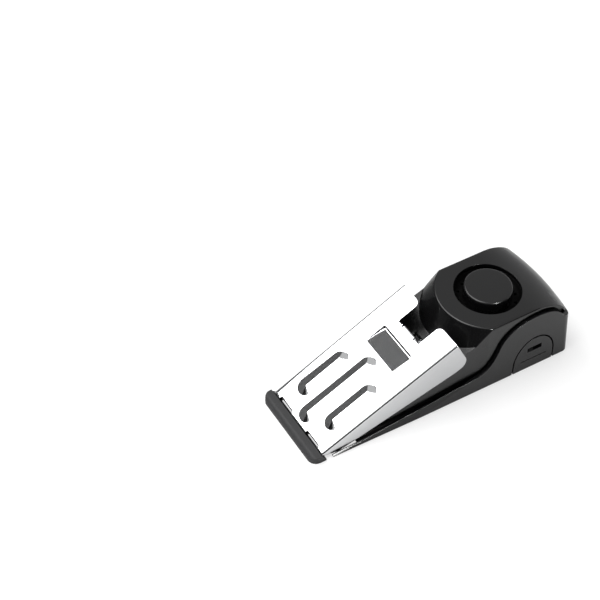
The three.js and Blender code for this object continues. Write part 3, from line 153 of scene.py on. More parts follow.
def math_node(nodes, links, operation, a, b):
    made = node(nodes, "ShaderNodeMath", operation=operation)
    for socket, value in zip(made.inputs, (a, b)):
        feed(links, socket, value)
    return made.outputs[0]


def noise_node(nodes, links, scale, detail):
    where = nodes.new("ShaderNodeTexCoord")
    noise = nodes.new("ShaderNodeTexNoise")
    links.new(where.outputs["Object"], noise.inputs["Vector"])
    feed(links, noise.inputs["Scale"], scale)
    feed(links, noise.inputs["Detail"], detail)
    return noise.outputs["Fac"]


def colour_mix(nodes, links, share, first, second):
    mix = node(nodes, "ShaderNodeMix", data_type="RGBA")
    for index, value in ((MIX_SHARE, share), (MIX_FIRST, first), (MIX_SECOND, second)):
        feed(links, mix.inputs[index], value)
    return mix.outputs[MIX_RESULT]


# %% Node groups for grain, cloud and wear
GRAIN_HEIGHT, GRAIN_DETAIL = 0.04 * MM, 3.0
SLOW_SCALE, SLOW_DETAIL, SLOW_MIDDLE = 60.0, 4.0, 0.5
CLOUD_DETAIL = 5.0
WEAR_START, WEAR_FULL, WEAR_SCALE, WEAR_DETAIL = 0.5, 0.62, 300.0, 2.0


def grain_group():
    group, nodes, links, given, out = new_group(
        "moulded grain",
        [("Scale", FLOAT, 1800.0), ("Depth", FLOAT, 0.1), ("Roughness", FLOAT, 0.4),
         ("Spread", FLOAT, 0.1)],
        [("Normal", NORMAL), ("Roughness", FLOAT)],
    )
    bump = nodes.new("ShaderNodeBump")
    bump.inputs["Distance"].default_value = GRAIN_HEIGHT
    links.new(given.outputs["Depth"], bump.inputs["Strength"])
    fine = noise_node(nodes, links, given.outputs["Scale"], GRAIN_DETAIL)
    links.new(fine, bump.inputs["Height"])
    links.new(bump.outputs["Normal"], out.inputs["Normal"])
    slow = noise_node(nodes, links, SLOW_SCALE, SLOW_DETAIL)
    off = math_node(nodes, links, "SUBTRACT", slow, SLOW_MIDDLE)
    swing = math_node(nodes, links, "MULTIPLY", off, given.outputs["Spread"])
    rough = math_node(nodes, links, "ADD", given.outputs["Roughness"], swing)
    links.new(rough, out.inputs["Roughness"])
    return group


def cloud_group():
    group, nodes, links, given, out = new_group(
        "cloudy colour",
        [("Colour", COLOUR, (0.5, 0.5, 0.5, 1)), ("Second", COLOUR, (0.4, 0.4, 0.4, 1)),
         ("Scale", FLOAT, 40.0)],
        [("Colour", COLOUR)],
    )
    share = noise_node(nodes, links, given.outputs["Scale"], CLOUD_DETAIL)
    mixed = colour_mix(nodes, links, share, given.outputs["Colour"], given.outputs["Second"])
    links.new(mixed, out.inputs["Colour"])
    return group


def wear_group():
    group, nodes, links, given, out = new_group(
        "edge wear",
        [("Colour", COLOUR, (0.5, 0.5, 0.5, 1)), ("Worn", COLOUR, (0.6, 0.6, 0.6, 1)),
         ("Amount", FLOAT, 0.5)],
        [("Colour", COLOUR)],
    )
    shape = nodes.new("ShaderNodeNewGeometry")
    ramp = nodes.new("ShaderNodeMapRange")
    fill(ramp, {"From Min": WEAR_START, "From Max": WEAR_FULL})
    links.new(shape.outputs["Pointiness"], ramp.inputs["Value"])
    noise = noise_node(nodes, links, WEAR_SCALE, WEAR_DETAIL)
    patchy = math_node(nodes, links, "MULTIPLY", ramp.outputs["Result"], noise)
    share = math_node(nodes, links, "MULTIPLY", patchy, given.outputs["Amount"])
    mixed = colour_mix(nodes, links, share, given.outputs["Colour"], given.outputs["Worn"])
    links.new(mixed, out.inputs["Colour"])
    return group


MOULDED_GRAIN = grain_group()
CLOUDY_COLOUR = cloud_group()
EDGE_WEAR = wear_group()
print("node groups:", [group.name for group in bpy.data.node_groups])

# %% [markdown]
# One helper builds every material in the same order: cloud, then edge wear, into the base colour;
# grain into the normal and the roughness. What is the same all over, such as how metallic it is, is
# typed on the shader itself.

# %% A material from its colours and effects
CLOUD_SCALE = 40.0
SECOND_SHADE, WORN_SHADE = 0.8, 1.5
COAT_ROUGHNESS = 0.08


def shaded(colour, factor):
    return [min(1.0, factor * part) for part in colour]


def material(name, colour, second=None, roughness=0.4, spread=0.1, metallic=0.0, grain=1800.0,
             depth=0.1, wear=0.4, coat=0.0, specular=0.5):
    made = bpy.data.materials.new(name)
    made.use_nodes = True
    nodes, links = made.node_tree.nodes, made.node_tree.links
    shader = nodes["Principled BSDF"]
    fill(shader, {"Metallic": metallic, "Specular IOR Level": specular, "Coat Weight": coat,
                  "Coat Roughness": COAT_ROUGHNESS})
    cloudy = node(nodes, "ShaderNodeGroup", node_tree=CLOUDY_COLOUR)
    fill(cloudy, {"Colour": (*colour, 1), "Second": (*(second or shaded(colour, SECOND_SHADE)), 1),
                  "Scale": CLOUD_SCALE})
    edge = node(nodes, "ShaderNodeGroup", node_tree=EDGE_WEAR)
    fill(edge, {"Worn": (*shaded(colour, WORN_SHADE), 1), "Amount": wear})
    links.new(cloudy.outputs["Colour"], edge.inputs["Colour"])
    links.new(edge.outputs["Colour"], shader.inputs["Base Color"])
    grainy = node(nodes, "ShaderNodeGroup", node_tree=MOULDED_GRAIN)
    fill(grainy, {"Scale": grain, "Depth": depth, "Roughness": roughness, "Spread": spread})
    links.new(grainy.outputs["Normal"], shader.inputs["Normal"])
    links.new(grainy.outputs["Roughness"], shader.inputs["Roughness"])
    return made


FINISHES = {
    "black_plastic": material("satin black moulding", (0.0034, 0.0034, 0.0036),
                              (0.0028, 0.0028, 0.0030), roughness=0.23, spread=0.05, grain=2200,
                              depth=0.1, specular=0.42),
    # Painted shade: this near-black, with almost no reflection, stands in for the shade deep in the
    # siren recess and round the knob in its slot.
    "deep_black_plastic": material("painted shade near-black moulding", (0.002, 0.002, 0.002), roughness=0.5,
                                   specular=0.05),
    "soft_rubber": material("nose rubber", (0.022, 0.022, 0.023), roughness=0.6, grain=1500,
                            depth=0.4, specular=0.4),
    "pad_rubber": material("pad rubber", (0.02, 0.02, 0.02), roughness=0.85, grain=1500, depth=0.5,
                           specular=0.3),
    "chrome_plate": material("chromed sheet", (0.65, 0.655, 0.665), (0.63, 0.635, 0.64),
                             roughness=0.09, spread=0.04, metallic=1.0, grain=500, depth=0.02,
                             wear=0.1),
    "steel": material("zinc plated steel", (0.55, 0.56, 0.57), roughness=0.3, metallic=1.0,
                      grain=900),
    "brass": material("rolled brass", (0.72, 0.52, 0.2), roughness=0.3, metallic=1.0, grain=900),
    "white_ceramic": material("silvered ceramic", (0.72, 0.7, 0.65), roughness=0.5),
    "circuit_board": material("green board", (0.02, 0.14, 0.05), roughness=0.35, coat=0.3),
    "ferrite": material("dull ferrite", (0.05, 0.045, 0.04), roughness=0.7),
    "sleeve_plastic": material("shrunk sleeve", (0.02, 0.03, 0.09), roughness=0.3),
    "resistor_body": material("lacquered resistor", (0.55, 0.42, 0.24), roughness=0.35),
    "battery_jacket": material("plain battery jacket", (0.11, 0.12, 0.13), roughness=0.3,
                               metallic=0.3),
    "red_insulation": material("red wire", (0.42, 0.02, 0.015), roughness=0.45),
    "black_insulation": material("black wire", (0.015, 0.015, 0.015), roughness=0.45),
    "white_insulation": material("pale wire", (0.62, 0.6, 0.52), roughness=0.45),
}
SLOTS = {part["node"]: part["material_slot"] for part in frame["record"]["subparts"]}
print("finishes:", len(FINISHES), "for", len(SLOTS), "nodes")

# %% [markdown]
# The solids that are right as they are only need their finish and smooth shading. Faces that meet
# at a shallow angle shade as one curve, and real corners stay crisp.

# %% Finish every solid
SMOOTH_TURN = math.radians(32)


def dress(piece, slot):
    piece.data.materials.clear()
    piece.data.materials.append(FINISHES[slot])


def shade_smooth(mesh):
    for face in mesh.polygons:
        face.use_smooth = True


def smooth(piece):
    shade_smooth(piece.data)
    piece.data.set_sharp_from_angle(angle=SMOOTH_TURN)


for name, piece in frame["nodes"].items():
    dress(piece, SLOTS[name])
    smooth(piece)
print("dressed", len(frame["nodes"]), "solids")

# %% [markdown]
# The plate is one chromed sheet, 0.6 mm thick, folded down along both sides. Three ribs are pressed
# up into it, a shallow pocket is pressed down, a tongue is bent down from the notch at the rear, and
# two lips curl round the hinge pin at the front. A bright sheet shows every facet, so it is laid out
# as a fine grid of points: rows follow one another along the sheet, and columns lie side by side
# across it, over the folds and down the flanges. A thickness is added afterwards.
#
# Sizes along the sheet count from the hinge pin toward the rear, sizes across it from its middle,
# and heights from the pin upward. Each rib is given by its middle across, its start and its stop.

# %% Sizes of the plate, in millimetres along and across it
PIN = Vector((-65.25, 0, 2.56))
FRONT, REAR, REAR_HEIGHT = -2.6, 78.4, 34.98
TILT = math.asin(REAR_HEIGHT / REAR)
TOP, SHEET, FOLD = 2.6, 0.6, 1.5
WIDE_HALF, TAPER, TAPER_END, TAPER_SPAN = 23.05, 0.85, 84.4, 93.0
NOTCH, RELIEF, NOTCH_HALF = 65.2, 64.5, 8.6
EAR_ROUND, EAR_START, EAR_IN = 3.2, 75.2, 11.8
TONGUE_MIDDLE, TONGUE_HALF, RELIEF_END = 3.6, 4.3, 5.3
TONGUE_HOOK = [(65.8, -4.0), (65.8, -10.0), (65.9, -10.3), (66.2, -10.4), (68.2, -10.4)]
LIP_IN, LIP_OUT, LIP_RADIUS, LIP_START, LIP_DROP = 6.8, 17.2, 1.45, -0.85, 1.0
RIB_AXIS, RIB_HALF, RIB_CREST, RIB_RISE = 12.2, 4.75, 0.35, 1.47
RIBS = ((0.0, -0.6, 44.9), (RIB_AXIS, 6.7, 36.4), (-RIB_AXIS, 6.7, 36.8))
POCKET_START, POCKET_STOP, POCKET_HALF, POCKET_DEPTH = 47.0, 58.9, 11.7, 1.9
POCKET_CORNER, POCKET_SIDE_WALL, POCKET_END_WALL, POCKET_EDGE_IN = 1.4, 0.4, 0.9, 10.9
BEFORE_POCKET, WALL_FOOT, AFTER_POCKET = 46.4, 58.0, 59.1
FLANGE_FRONT = ((1.64, FRONT), (-0.3, -1.3), (-4.1, 4.5))
FLANGE_FOOT, FLANGE_SLOPE = -3.5, 0.168
FLANGE_ROUND, FLANGE_ROUND_START = 5.0, -10.4
QUARTER_TURN = [math.radians(15 * k) for k in range(1, 7)]
HALF_TURN = [math.radians(18 * k) for k in range(1, 11)]


def steps(*spans):
    values = [spans[0][0]]
    for start, stop, count in spans:
        values += [start + (stop - start) * (k + 1) / count for k in range(count)]
    return values


def on_plate(s, y, z):
    x = PIN.x + s * math.cos(TILT) - z * math.sin(TILT)
    return Vector((x, y, PIN.z + s * math.sin(TILT) + z * math.cos(TILT))) * MM


def plate_half(s):
    return WIDE_HALF - TAPER * (TAPER_END - s) / TAPER_SPAN


def ease(t):
    t = min(1.0, max(0.0, t))
    return t * t * (3 - 2 * t)


def relief(s, y):
    rise = 0.0
    for middle, start, stop in RIBS:
        along = min(max(s, start + RIB_HALF), stop - RIB_HALF)
        down = (RIB_HALF - math.hypot(s - along, y - middle)) / (RIB_HALF - RIB_CREST)
        rise = max(rise, RIB_RISE * min(1.0, down))
    to_end, to_side = POCKET_STOP - s, POCKET_HALF - abs(y)
    if s > POCKET_START and to_end > 0 and to_side > 0:
        a, b = POCKET_CORNER - to_end, POCKET_CORNER - to_side
        inside = min(to_end / POCKET_END_WALL, to_side / POCKET_SIDE_WALL)
        if a > 0 and b > 0:
            inside = (POCKET_CORNER - math.hypot(a, b)) / POCKET_SIDE_WALL
        rise -= POCKET_DEPTH * (s - POCKET_START) / (POCKET_STOP - POCKET_START) * ease(inside)
    return rise


# %% Rows and columns
BODY_ROWS = steps(
    (FRONT, -LIP_RADIUS, 1), (-LIP_RADIUS, LIP_START, 1), (LIP_START, BEFORE_POCKET, 86),
    (BEFORE_POCKET, POCKET_START, 1), (POCKET_START, WALL_FOOT, 24), (WALL_FOOT, AFTER_POCKET, 8),
    (AFTER_POCKET, RELIEF, 8), (RELIEF, NOTCH, 1))
EAR_ROWS = steps((NOTCH, EAR_START, 8), (EAR_START, REAR, 10))[1:]
ALL_ROWS = BODY_ROWS + EAR_ROWS
ACROSS = sorted(set(
    steps((0, TONGUE_MIDDLE, 6), (TONGUE_MIDDLE, TONGUE_HALF, 1), (TONGUE_HALF, RELIEF_END, 2),
          (RELIEF_END, LIP_IN, 3), (LIP_IN, NOTCH_HALF, 4))
    + [EAR_IN - EAR_ROUND * math.cos(turn) for turn in QUARTER_TURN]
    + steps((POCKET_EDGE_IN, EAR_IN, 6), (RIB_AXIS, LIP_OUT, 9))))
FLANGE = [1.0, 0.4, -0.3, -1.2, -2.2, -3.2, -4.1, -5.5, -7.0, -8.5, -10.4, -12.0, -13.4, -14.5,
          -15.15, -15.4]
HALF_COLUMNS = ([("top", y) for y in ACROSS] + [("side", t / 4) for t in range(1, 5)]
                + [("fold", turn) for turn in QUARTER_TURN] + [("flange", z) for z in FLANGE])


def flange_front(z):
    for (high, a), (low, b) in zip(FLANGE_FRONT, FLANGE_FRONT[1:]):
        if z >= low:
            return a + (b - a) * min(1.0, max(0.0, (high - z) / (high - low)))
    return (FLANGE_FOOT - z) / FLANGE_SLOPE


def flange_rear(z):
    below = FLANGE_ROUND_START - z
    if below <= 0:
        return REAR
    return REAR - FLANGE_ROUND + math.sqrt(max(0.0, FLANGE_ROUND ** 2 - below ** 2))


def grid_place(column, side, row):
    kind, value = column
    s = ALL_ROWS[row]
    if kind == "top":
        if row >= len(BODY_ROWS) and value < EAR_IN:
            rear = EAR_START + math.sqrt(max(0.0, EAR_ROUND ** 2 - (EAR_IN - value) ** 2))
            s = NOTCH + (s - NOTCH) * (rear - NOTCH) / (REAR - NOTCH)
        return s, side * value, TOP + relief(s, value * side)
    edge = plate_half(s) - FOLD
    if kind == "side":
        y = LIP_OUT + value * (edge - LIP_OUT)
        return s, side * y, TOP
    if kind == "fold":
        return s, side * (edge + FOLD * math.sin(value)), TOP - FOLD + FOLD * math.cos(value)
    low, high = flange_front(value), flange_rear(value)
    s = low + (high - low) * (s - FRONT) / (REAR - FRONT)
    return s, side * plate_half(s), value


# %% Build the folded sheet
BEND_TURNS = (0.4, 0.8, 1.2, 1.5708)
COLUMNS = [(column, -1) for column in reversed(HALF_COLUMNS[1:])]
COLUMNS += [(column, 1) for column in HALF_COLUMNS]
NOTCH_ROW = len(BODY_ROWS) - 1
LIP_ROW = 2


def bend(start, way):
    return [(start + way * SHEET * math.sin(turn), TOP - SHEET + SHEET * math.cos(turn))
            for turn in BEND_TURNS]


def span(j):
    (kind_a, a), (kind_b, b) = COLUMNS[j][0], COLUMNS[j + 1][0]
    return 0.5 * (a + b) if kind_a == kind_b == "top" else None


def cut_out(i, y):
    if y is None:
        return False
    notched = i >= NOTCH_ROW and y < NOTCH_HALF
    relieved = i == NOTCH_ROW - 1 and TONGUE_HALF < y < RELIEF_END
    lipped = i < LIP_ROW and LIP_IN < y < LIP_OUT
    return notched or relieved or lipped


def sheet_mesh():
    shape = bmesh.new()
    grid = {}

    def point(j, i):
        if (j, i) not in grid:
            grid[j, i] = shape.verts.new(on_plate(*grid_place(*COLUMNS[j], i)))
        return grid[j, i]

    for j in range(len(COLUMNS) - 1):
        y = span(j)
        for i in range(len(ALL_ROWS) - 1):
            if not cut_out(i, y):
                shape.faces.new(
                    (point(j, i), point(j, i + 1), point(j + 1, i + 1), point(j + 1, i)))

    tongue = bend(NOTCH, 1) + TONGUE_HOOK
    lip = bend(LIP_START, -1) + [(-LIP_RADIUS, LIP_DROP), (-LIP_RADIUS, 0.0)]
    lip += [(-LIP_RADIUS * math.cos(turn), -LIP_RADIUS * math.sin(turn)) for turn in HALF_TURN]
    for path, first, low, high in ((tongue, NOTCH_ROW, -1.0, TONGUE_HALF),
                                   (lip, LIP_ROW, LIP_IN, LIP_OUT)):
        for j in range(len(COLUMNS) - 1):
            y = span(j)
            if y is None or not low < y < high:
                continue
            for k in range(len(path)):
                strip = []
                for c, p in ((j, k - 1), (j, k), (j + 1, k), (j + 1, k - 1)):
                    if p < 0:
                        strip.append(point(c, first))
                        continue
                    key = (c, first, p)
                    if key not in grid:
                        across = COLUMNS[c][1] * COLUMNS[c][0][1]
                        grid[key] = shape.verts.new(on_plate(path[p][0], across, path[p][1]))
                    strip.append(grid[key])
                shape.faces.new(strip if path is tongue else list(reversed(strip)))
    mesh = bpy.data.meshes.new("chrome plate")
    shape.to_mesh(mesh)
    shape.free()
    shade_smooth(mesh)
    return mesh


# %% Put a new piece on its body
def new_piece(name, mesh, slot, body, *nodes):
    piece = bpy.data.objects.new(name, mesh)
    bpy.context.collection.objects.link(piece)
    mesh.materials.append(FINISHES[slot])
    if nodes:
        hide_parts(*nodes)
    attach(piece, body)
    return piece


# %% Give the sheet its thickness and its rounded rim
PLATE_ROUND, PLATE_CORNER = 0.1, math.radians(55)
chrome_plate = new_piece("chrome_plate", sheet_mesh(), "chrome_plate", "plate", "wedge_plate")
thick = chrome_plate.modifiers.new("sheet", "SOLIDIFY")
thick.thickness = SHEET * MM
thick.offset = -1
thick.use_even_offset = True
rim = chrome_plate.modifiers.new("rim", "BEVEL")
rim.width = PLATE_ROUND * MM
rim.segments = 2
rim.limit_method = "ANGLE"
rim.angle_limit = PLATE_CORNER
rim.use_clamp_overlap = False
print("plate grid:", len(chrome_plate.data.polygons), "faces")

# %% [markdown]
# Moulded plastic has no sharp corners: the tool that cuts the mould leaves a small round everywhere,
# and light runs along it as a thin line. The solids have crisp edges, so copies of them get a bevel
# on every edge that turns by more than a set angle. Weighted normals then let the large flat faces
# lead, so that the thin rounds carry all of the turn and the flats stay flat.
#
# Two copies are also shaped a little. The lower shell's rim leans in along the wedge, so that the
# slot beside the plate reads as a thin dark line. The arched panel is drawn in by a fiftieth, so
# that the groove round it is as bold as on the real one, while its slot stays where the knob needs
# it. The knob sits in shadow, painted on as the near-black finish that reflects almost nothing.

# %% Reshape the rim and the arch
RIM_SIDE, RIM_LEAN, RIM_FOOT = 23.0, 0.8, 1.0
LEAN_FULL, LEAN_NONE = 0.0, 20.0
FACES_UP, FACES_OUT = 0.5, 0.9
ARCH_X, ARCH_SHRINK = 50.7, 0.02
SLOT_HALF, SLOT_LOW, SLOT_HIGH = 4.5, 11.5, 15.5


def lean_rim(shape):
    rim = set()
    for edge in shape.edges:
        middle = (edge.verts[0].co + edge.verts[1].co) / 2 / MM
        out = math.copysign(1, middle.y)
        tops = [face for face in edge.link_faces if face.normal.z > FACES_UP]
        walls = [face for face in edge.link_faces if face.normal.y * out > FACES_OUT]
        on_rim = abs(middle.y) > RIM_SIDE and middle.x < LEAN_NONE and middle.z > RIM_FOOT
        if tops and walls and on_rim:
            rim.update(edge.verts)
    for corner in rim:
        lean = RIM_LEAN * (1 - ease((corner.co.x / MM - LEAN_FULL) / (LEAN_NONE - LEAN_FULL)))
        corner.co.y -= math.copysign(lean * MM, corner.co.y)
    shape.normal_update()
    print("rim points leaned in:", len(rim))


def shrink_arch(shape):
    for corner in shape.verts:
        x, z = corner.co.x / MM, corner.co.z / MM
        if abs(x - ARCH_X) < SLOT_HALF and SLOT_LOW < z < SLOT_HIGH:
            continue
        corner.co.x += (ARCH_X * MM - corner.co.x) * ARCH_SHRINK
        corner.co.z *= 1 - ARCH_SHRINK


# %% Soften the moulded pieces
BODY_OF = {name: body for body, names in frame["record"]["behaviour"]["bodies"].items()
           for name in names}
CORNER_TURN = math.radians(33)
SAME_POINT = 0.01 * MM
FLAT_LEAD = 90
ROUNDS = {
    "upper_shell": 0.18,
    "lower_shell": 0.16,
    "switch_panel": 0.1,
    "slide_switch_knob": 0.2,
    "battery_door": 0.3,
    "front_pad": 0.25,
    "side_pad_left": 0.25,
    "side_pad_right": 0.25,
}
RESHAPE = {"lower_shell": lean_rim, "switch_panel": shrink_arch}


def merged_mesh(name):
    shape = bmesh.new()
    shape.from_mesh(frame["nodes"][name].data)
    bmesh.ops.remove_doubles(shape, verts=shape.verts, dist=SAME_POINT)
    return shape


def softened(name, round_size):
    shape = merged_mesh(name)
    if name in RESHAPE:
        RESHAPE[name](shape)
    weights = shape.edges.layers.float.new("bevel_weight_edge")
    for edge in shape.edges:
        if len(edge.link_faces) == 2 and edge.calc_face_angle(0) > CORNER_TURN:
            edge[weights] = 1.0
    mesh = bpy.data.meshes.new(name + " soft")
    shape.to_mesh(mesh)
    shape.free()
    shade_smooth(mesh)
    piece = new_piece(name + "_soft", mesh, SLOTS[name], BODY_OF[name], name)
    bevel = piece.modifiers.new("rounds", "BEVEL")
    bevel.limit_method = "WEIGHT"
    bevel.width = round_size * MM
    bevel.segments = 2
    bevel.use_clamp_overlap = False
    even = piece.modifiers.new("flat faces lead", "WEIGHTED_NORMAL")
    even.weight = FLAT_LEAD
    even.keep_sharp = True
    return piece


soft = {name: softened(name, round_size) for name, round_size in ROUNDS.items()}
# Painted shade: the knob takes the near-black, almost unreflecting finish for the shadow it sits in.
soft["slide_switch_knob"].data.materials[0] = FINISHES["deep_black_plastic"]
print("softened pieces:", len(soft))

# %% [markdown]
# The siren sits in a deep round recess: sound leaves through small holes in the recess floor, and the
# cap over the sounder catches the light on its rounded rim. The recess keeps the solid's shape, with
# the cap's faces taken away, and its deep shade is painted on as a near-black that reflects almost
# nothing. The cap is turned from its own profile, because a lathe gives it a slight crown and a
# smooth round that the solid lacks.

# %% Turn the cap and keep the recess
SIREN_X, CAP_RADIUS, CAP_FOOT, CAP_TOP, CAP_ROUND = 36.95, 12.0, 34.2, 42.5, 1.3
CAP_CROWN, CAP_RINGS, CAP_SIDES = 0.15, (9.5, 8, 6, 4, 2, 0), 96
CAP_LOW_RING, CAP_HIGH_RING = 2.0, 0.4
CAP_SLACK, FOOT_SLACK = 0.1, 0.02


def turned(name, profile, sides):
    shape = bmesh.new()
    rings = []
    for radius, height in profile:
        if radius == 0:
            rings.append([shape.verts.new(Vector((SIREN_X, 0, height)) * MM)])
            continue
        rings.append([
            shape.verts.new(
                Vector((SIREN_X + radius * math.cos(turn), radius * math.sin(turn), height)) * MM)
            for turn in (2 * math.pi * k / sides for k in range(sides))])
    for low, high in zip(rings, rings[1:]):
        for k in range(sides):
            after = (k + 1) % sides
            if len(high) == 1:
                shape.faces.new((low[k], low[after], high[0]))
            else:
                shape.faces.new((low[k], low[after], high[after], high[k]))
    mesh = bpy.data.meshes.new(name)
    shape.to_mesh(mesh)
    shape.free()
    shade_smooth(mesh)
    return mesh


def cap_profile():
    rim = CAP_TOP - CAP_CROWN
    side = [(CAP_RADIUS, height) for height in
            (CAP_FOOT, CAP_FOOT + CAP_LOW_RING, rim - CAP_ROUND - CAP_HIGH_RING)]
    corner = [(CAP_RADIUS - CAP_ROUND * (1 - math.cos(t)), rim - CAP_ROUND * (1 - math.sin(t)))
              for t in (math.radians(10 * k) for k in range(10))]
    crown = [(r, rim + CAP_CROWN * (1 - (r / (CAP_RADIUS - CAP_ROUND)) ** 2)) for r in CAP_RINGS]
    return side + corner + crown


def recess_mesh():
    shape = merged_mesh("siren_grille")
    cap_faces = []
    for face in shape.faces:
        middle = face.calc_center_median() / MM
        away = math.hypot(middle.x - SIREN_X, middle.y)
        if away < CAP_RADIUS + CAP_SLACK and middle.z > CAP_FOOT + FOOT_SLACK:
            cap_faces.append(face)
    bmesh.ops.delete(shape, geom=cap_faces, context="FACES")
    mesh = bpy.data.meshes.new("siren recess")
    shape.to_mesh(mesh)
    shape.free()
    return mesh


# Painted shade: the recess is given the near-black, almost unreflecting finish for its deep shadow.
recess = new_piece("siren_recess", recess_mesh(), "deep_black_plastic", "housing", "siren_grille")
smooth(recess)
cap_mesh = turned("siren cap", cap_profile(), CAP_SIDES)
siren_cap = new_piece("siren_cap", cap_mesh, "black_plastic", "housing")
print("cap faces:", len(siren_cap.data.polygons))

# %% [markdown]
# Two coil springs stand between a fixed seat and a piece that moves. The larger one lifts the plate,
# and the smaller one lifts the trigger's plunger. A real coil closes up toward its seat when the
# plate is pressed. Each coil here is a copy of the solid, with a mesh of its own, on the body of the
# solid it replaces.


def closing_coil(name):
    mesh = frame["nodes"][name].data.copy()
    mesh.materials.clear()
    piece = new_piece(name + "_coil", mesh, SLOTS[name], BODY_OF[name], name)
    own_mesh(piece)


closing_coil("plate_spring")
closing_coil("trigger_spring")

# %% [markdown]
# The floor is a wide pale sheet, and a pale sky lights it evenly. It is stage, not part of the
# object. Half of its white comes from a glow that the camera, reflections and clear pieces see, and
# that lights nothing, so that the shadow beside the body stays soft. The glow stops under the body,
# and the sheet is clear there and from below, so that the underside can be looked at. One broad lamp
# stands over the plate. A small one, low on the near side, gives the cap its single bright glint.

# %% Stage
FLOOR_HALF, BODY_HALF_X, BODY_HALF_Y = 1.6, 71 * MM, 22 * MM
PAPER_SHADE, PAPER_ROUGHNESS = 0.92, 0.85
GLOW_STRENGTH, GLOW_SHARE = 1.0, 0.5


def square(x, y, z, half):
    return [(x - half, y - half, z), (x + half, y - half, z),
            (x + half, y + half, z), (x - half, y + half, z)]


def stage_sheet(name, corners, finish):
    mesh = bpy.data.meshes.new(name)
    mesh.from_pydata(corners, [], [(0, 1, 2, 3)])
    mesh.materials.append(finish)
    made = bpy.data.objects.new(name, mesh)
    bpy.context.collection.objects.link(made)
    return made


def plain_material(name, shade, roughness, specular=0.5):
    made = bpy.data.materials.new(name)
    made.use_nodes = True
    fill(made.node_tree.nodes["Principled BSDF"], {
        "Base Color": (shade, shade, shade, 1), "Roughness": roughness,
        "Specular IOR Level": specular})
    return made


def pale_paper():
    made = plain_material("pale paper", PAPER_SHADE, PAPER_ROUGHNESS)
    nodes, links = made.node_tree.nodes, made.node_tree.links
    where = nodes.new("ShaderNodeTexCoord")
    axes = nodes.new("ShaderNodeSeparateXYZ")
    links.new(where.outputs["Object"], axes.inputs[0])
    beside = 0.0
    for axis, half in (("X", BODY_HALF_X), ("Y", BODY_HALF_Y)):
        away = math_node(nodes, links, "ABSOLUTE", axes.outputs[axis], 0.0)
        past = math_node(nodes, links, "GREATER_THAN", away, half)
        beside = math_node(nodes, links, "MAXIMUM", past, beside)
    seen = nodes.new("ShaderNodeLightPath")
    looked_at = seen.outputs["Is Camera Ray"]
    for kind in ("Is Glossy Ray", "Is Transmission Ray"):
        looked_at = math_node(nodes, links, "ADD", looked_at, seen.outputs[kind])
    half_glow = math_node(nodes, links, "MULTIPLY", looked_at, GLOW_SHARE)
    share = math_node(nodes, links, "MULTIPLY", half_glow, beside)
    glow = nodes.new("ShaderNodeEmission")
    glow.inputs["Strength"].default_value = GLOW_STRENGTH
    blend = nodes.new("ShaderNodeMixShader")
    links.new(share, blend.inputs[0])
    links.new(nodes["Principled BSDF"].outputs[0], blend.inputs[1])
    links.new(glow.outputs[0], blend.inputs[2])
    under = nodes.new("ShaderNodeNewGeometry")
    covered = math_node(nodes, links, "SUBTRACT", 1.0, beside)
    see_through = math_node(nodes, links, "MAXIMUM", under.outputs["Backfacing"], covered)
    clear = nodes.new("ShaderNodeBsdfTransparent")
    one_sided = nodes.new("ShaderNodeMixShader")
    links.new(see_through, one_sided.inputs[0])
    links.new(blend.outputs[0], one_sided.inputs[1])
    links.new(clear.outputs[0], one_sided.inputs[2])
    links.new(one_sided.outputs[0], nodes["Material Output"].inputs["Surface"])
    return made


stage_sheet("floor", square(0, 0, 0, FLOOR_HALF), pale_paper())
print("floor:", 2 * FLOOR_HALF, "m wide")

# %% Lamps and sky
SKY = 0.72


def area_lamp(name, place, target, size, power):
    lamp = bpy.data.lights.new(name, "AREA")
    lamp.shape = "RECTANGLE"
    lamp.size, lamp.size_y = size
    lamp.energy = power
    made = bpy.data.objects.new(name, lamp)
    bpy.context.collection.objects.link(made)
    made.location = place
    made.rotation_euler = (Vector(target) - Vector(place)).to_track_quat("-Z", "Y").to_euler()
    return made


area_lamp("over plate", (-0.48, 0.45, 0.92), (-0.48, 0.45, 0.0), size=(0.8, 1.3), power=16.0)
spark = area_lamp("spark", (0.12, -0.87, 0.6), (0, 0, 0.02), size=(0.2, 0.1), power=9.0)
spark.visible_diffuse = False
world = bpy.data.worlds.new("sky")
bpy.context.scene.world = world
world.use_nodes = True
fill(world.node_tree.nodes["Background"], {"Color": (1, 1, 1, 1), "Strength": SKY})
bpy.context.scene.view_settings.view_transform = "Standard"
print("lamps:", [lamp.name for lamp in bpy.data.lights], "sky:", SKY)

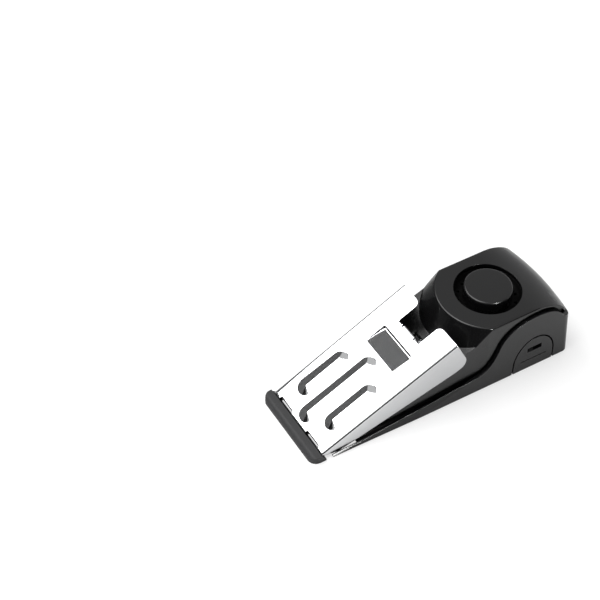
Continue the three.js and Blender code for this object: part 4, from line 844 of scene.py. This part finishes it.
# %% [markdown]
# Glossy black plastic and chrome show what stands round them more than their own colour. Dark cards
# and a low dark ring, which only reflections see, draw the dark bands on the ribs, the fold and the
# drum, as black felt does in a photographer's tent. A grey sheet on the floor dims what the walls
# mirror. The card over the plate stands where the pocket's tilted floor mirrors it to the camera.

# %% Cards that only reflections see
GREY_HALF, GREY_HEIGHT, GREY_SHADE = 0.5, 0.0004, 0.73
SCREEN_NEAR, SCREEN_FAR, SCREEN_HEIGHT, SCREEN_SHADE = (-0.24, 0.05), (0.04, 0.11), 0.078, 0.16
RING_RADIUS, RING_HEIGHT, RING_SHADE = 0.34, 0.23, 0.015
RING_START, RING_STOP, RING_STEP = 120, 320, 20
POCKET_PLACE = Vector((-17.8, 0, 28.8)) * MM
POCKET_LEAN = TILT - math.radians(9.07)
OVER_HEIGHT, OVER_HALF, OVER_SHADE = 0.63, 0.075, 0.1


def card(name, corners, shade):
    made = stage_sheet(name, corners, plain_material(name, shade, roughness=1.0, specular=0.0))
    made.visible_camera = False
    made.visible_shadow = False
    made.visible_diffuse = False


def upright_card(name, start, stop, height, shade):
    card(name, [(*start, 0.0), (*stop, 0.0), (*stop, height), (*start, height)], shade)


def on_circle(radius, degrees):
    turn = math.radians(degrees)
    return radius * math.cos(turn), radius * math.sin(turn)


card("grey sheet", square(0, 0, GREY_HEIGHT, GREY_HALF), GREY_SHADE)
upright_card("dark screen", SCREEN_NEAR, SCREEN_FAR, SCREEN_HEIGHT, SCREEN_SHADE)
for degrees in range(RING_START, RING_STOP, RING_STEP):
    upright_card("dark ring", on_circle(RING_RADIUS, degrees),
                 on_circle(RING_RADIUS, degrees + RING_STEP), RING_HEIGHT, RING_SHADE)
pocket_up = Vector((-math.sin(POCKET_LEAN), 0, math.cos(POCKET_LEAN)))
toward = (place - POCKET_PLACE).normalized()
mirrored = 2 * toward.dot(pocket_up) * pocket_up - toward
over = POCKET_PLACE + mirrored * (OVER_HEIGHT / mirrored.z)
card("dark over", square(over.x, over.y, over.z, OVER_HALF), OVER_SHADE)
